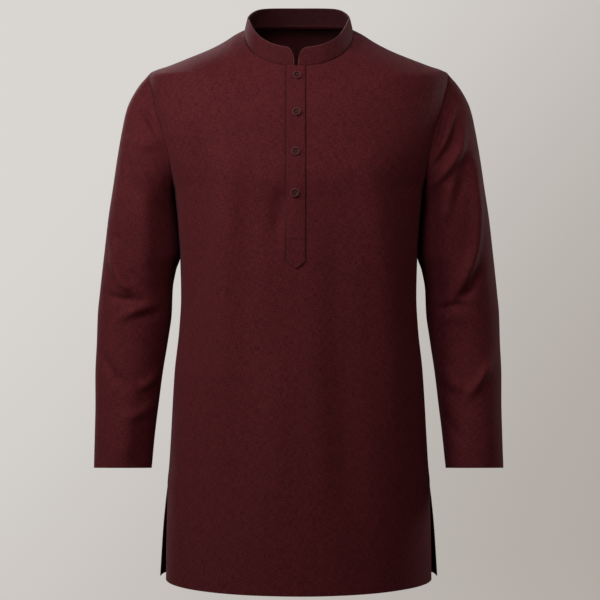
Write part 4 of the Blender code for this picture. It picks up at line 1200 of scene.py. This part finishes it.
def turned_button():
    """A button lying on the plane z = 0, shaped from a disc as on a lathe and then drilled."""
    bpy.ops.object.select_all(action="DESELECT")
    bpy.ops.mesh.primitive_cylinder_add(
        vertices=BUTTON_SIDES, radius=BUTTON_RADIUS, depth=BUTTON_THICKNESS,
        location=(0.0, 0.0, BUTTON_THICKNESS / 2))
    button = bpy.context.active_object
    bpy.ops.object.transform_apply(location=True, rotation=True, scale=True)
    bpy.ops.object.mode_set(mode="EDIT")
    bpy.ops.mesh.select_mode(type="FACE")
    bpy.ops.mesh.select_all(action="DESELECT")
    shape = bmesh.from_edit_mesh(button.data)
    for face in shape.faces:
        face.select = face.normal.z > 0.9
    bmesh.update_edit_mesh(button.data)
    bpy.ops.mesh.inset(thickness=RIM_WIDTH)
    bpy.ops.mesh.inset(thickness=RIM_SLOPE)
    bpy.ops.transform.translate(value=(0.0, 0.0, -DISH_DEPTH))
    bpy.ops.mesh.inset(thickness=DISH_RING)
    bpy.ops.transform.translate(value=(0.0, 0.0, -DISH_STEP))
    bpy.ops.object.mode_set(mode="OBJECT")
    modify(button, "Rounding", "BEVEL", width=BUTTON_ROUNDING, segments=4,
           limit_method="ANGLE", angle_limit=math.radians(30.0))
    drills = []
    for i in range(4):
        angle = HOLE_ANGLE + math.pi / 2 * i
        bpy.ops.mesh.primitive_cylinder_add(
            vertices=DRILL_SIDES, radius=HOLE_RADIUS, depth=BUTTON_THICKNESS * 4,
            location=(HOLE_SPACING * math.cos(angle), HOLE_SPACING * math.sin(angle), 0.0))
        drills.append(bpy.context.active_object)
    pick(*drills)
    bpy.ops.object.join()
    drill = bpy.context.active_object
    pick(button)
    modify(button, "Holes", "BOOLEAN", object=drill, operation="DIFFERENCE", solver="EXACT")
    bpy.data.objects.remove(drill)
    button.data.shade_smooth()
    button.data.set_sharp_from_angle(angle=math.radians(40.0))
    # Share of painted shade at each point: none on the rim, part in the centre, full in the ring between.
    dish_painted_shade = button.data.attributes.new("dish_painted_shade", "FLOAT", "POINT")
    for vertex, mark in zip(button.data.vertices, dish_painted_shade.data):
        from_middle = math.hypot(vertex.co.x, vertex.co.y)
        on_rim = from_middle > BUTTON_RADIUS - RIM_WIDTH + RIM_HIGHLIGHT_SET
        mark.value = 0.0 if on_rim else (CENTRE_PAINTED_SHADE_SHARE if from_middle < LESS_SHADED_CENTRE_RADIUS else 1.0)
    return button


button_finish = Finish("maroon_brown_resin")
resin_place = button_finish.node("ShaderNodeTexCoord", output=3)
resin_cloud = button_finish.node(
    "ShaderNodeTexNoise", inputs={"Vector": resin_place, "Scale": 240.0, "Detail": 3.0})
dish_painted_shade = button_finish.node("ShaderNodeAttribute", {"attribute_name": "dish_painted_shade"}, output=2)
resin_and_painted_light = button_finish.mix(dish_painted_shade, (*RIM_RESIN_AND_HIGHLIGHT_COLOUR, 1.0), (*DISH_PAINTED_SHADE_COLOUR, 1.0))
darker_resin = button_finish.mix(1.0, resin_and_painted_light, (0.7, 0.7, 0.7, 1.0), blend="MULTIPLY")
button_finish.feed(button_finish.shader, {
    "Base Color": button_finish.mix(resin_cloud, darker_resin, resin_and_painted_light),
    "Roughness": 0.40 + resin_cloud * 0.12, "Specular IOR Level": 0.22,
})

model_button = turned_button()
model_button.data.materials.append(button_finish.material)
hole_reach = HOLE_SPACING * math.cos(HOLE_ANGLE)
buttonhole_bars = int(2 * BUTTONHOLE_HALF / BUTTONHOLE_SPACING)
for button_place in BUTTONS:
    level = button_place.z
    for _ in range(SEAT_ROUNDS):
        level += button_place.z - placket_place(button_place.x, level)[0].z
    seat, normal = placket_place(button_place.x, level)
    turn = normal.to_track_quat("Z", "Y").to_matrix().to_4x4()
    settle = Matrix.Translation(seat + normal * SEAT_GAP) @ turn
    button = new_object(button_place.node + "_resin", model_button.data.copy())
    button.data.transform(settle)
    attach(button, "root")
    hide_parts(button_place.node)

    strands = []
    for cross in (-hole_reach, hole_reach):
        for shift in (-STRAND_SHIFT, STRAND_SHIFT):
            start = settle @ Vector((-hole_reach, cross + shift, STRAND_LEVEL))
            end = settle @ Vector((hole_reach, cross + shift, STRAND_LEVEL))
            strands.append((start, end, normal, STRAND_SINK))
    for side in (-1.0, 1.0):
        for at in np.linspace(level - BUTTONHOLE_HALF, level + BUTTONHOLE_HALF, buttonhole_bars + 1):
            inner, _ = placket_place(button_place.x + side * BUTTONHOLE_INNER, at)
            outer, _ = placket_place(button_place.x + side * BUTTONHOLE_OUTER, at)
            strands.append((inner, outer, normal, BUTTONHOLE_SINK))
    sewn_thread(button_place.node + "_thread", strands)
bpy.data.objects.remove(model_button)
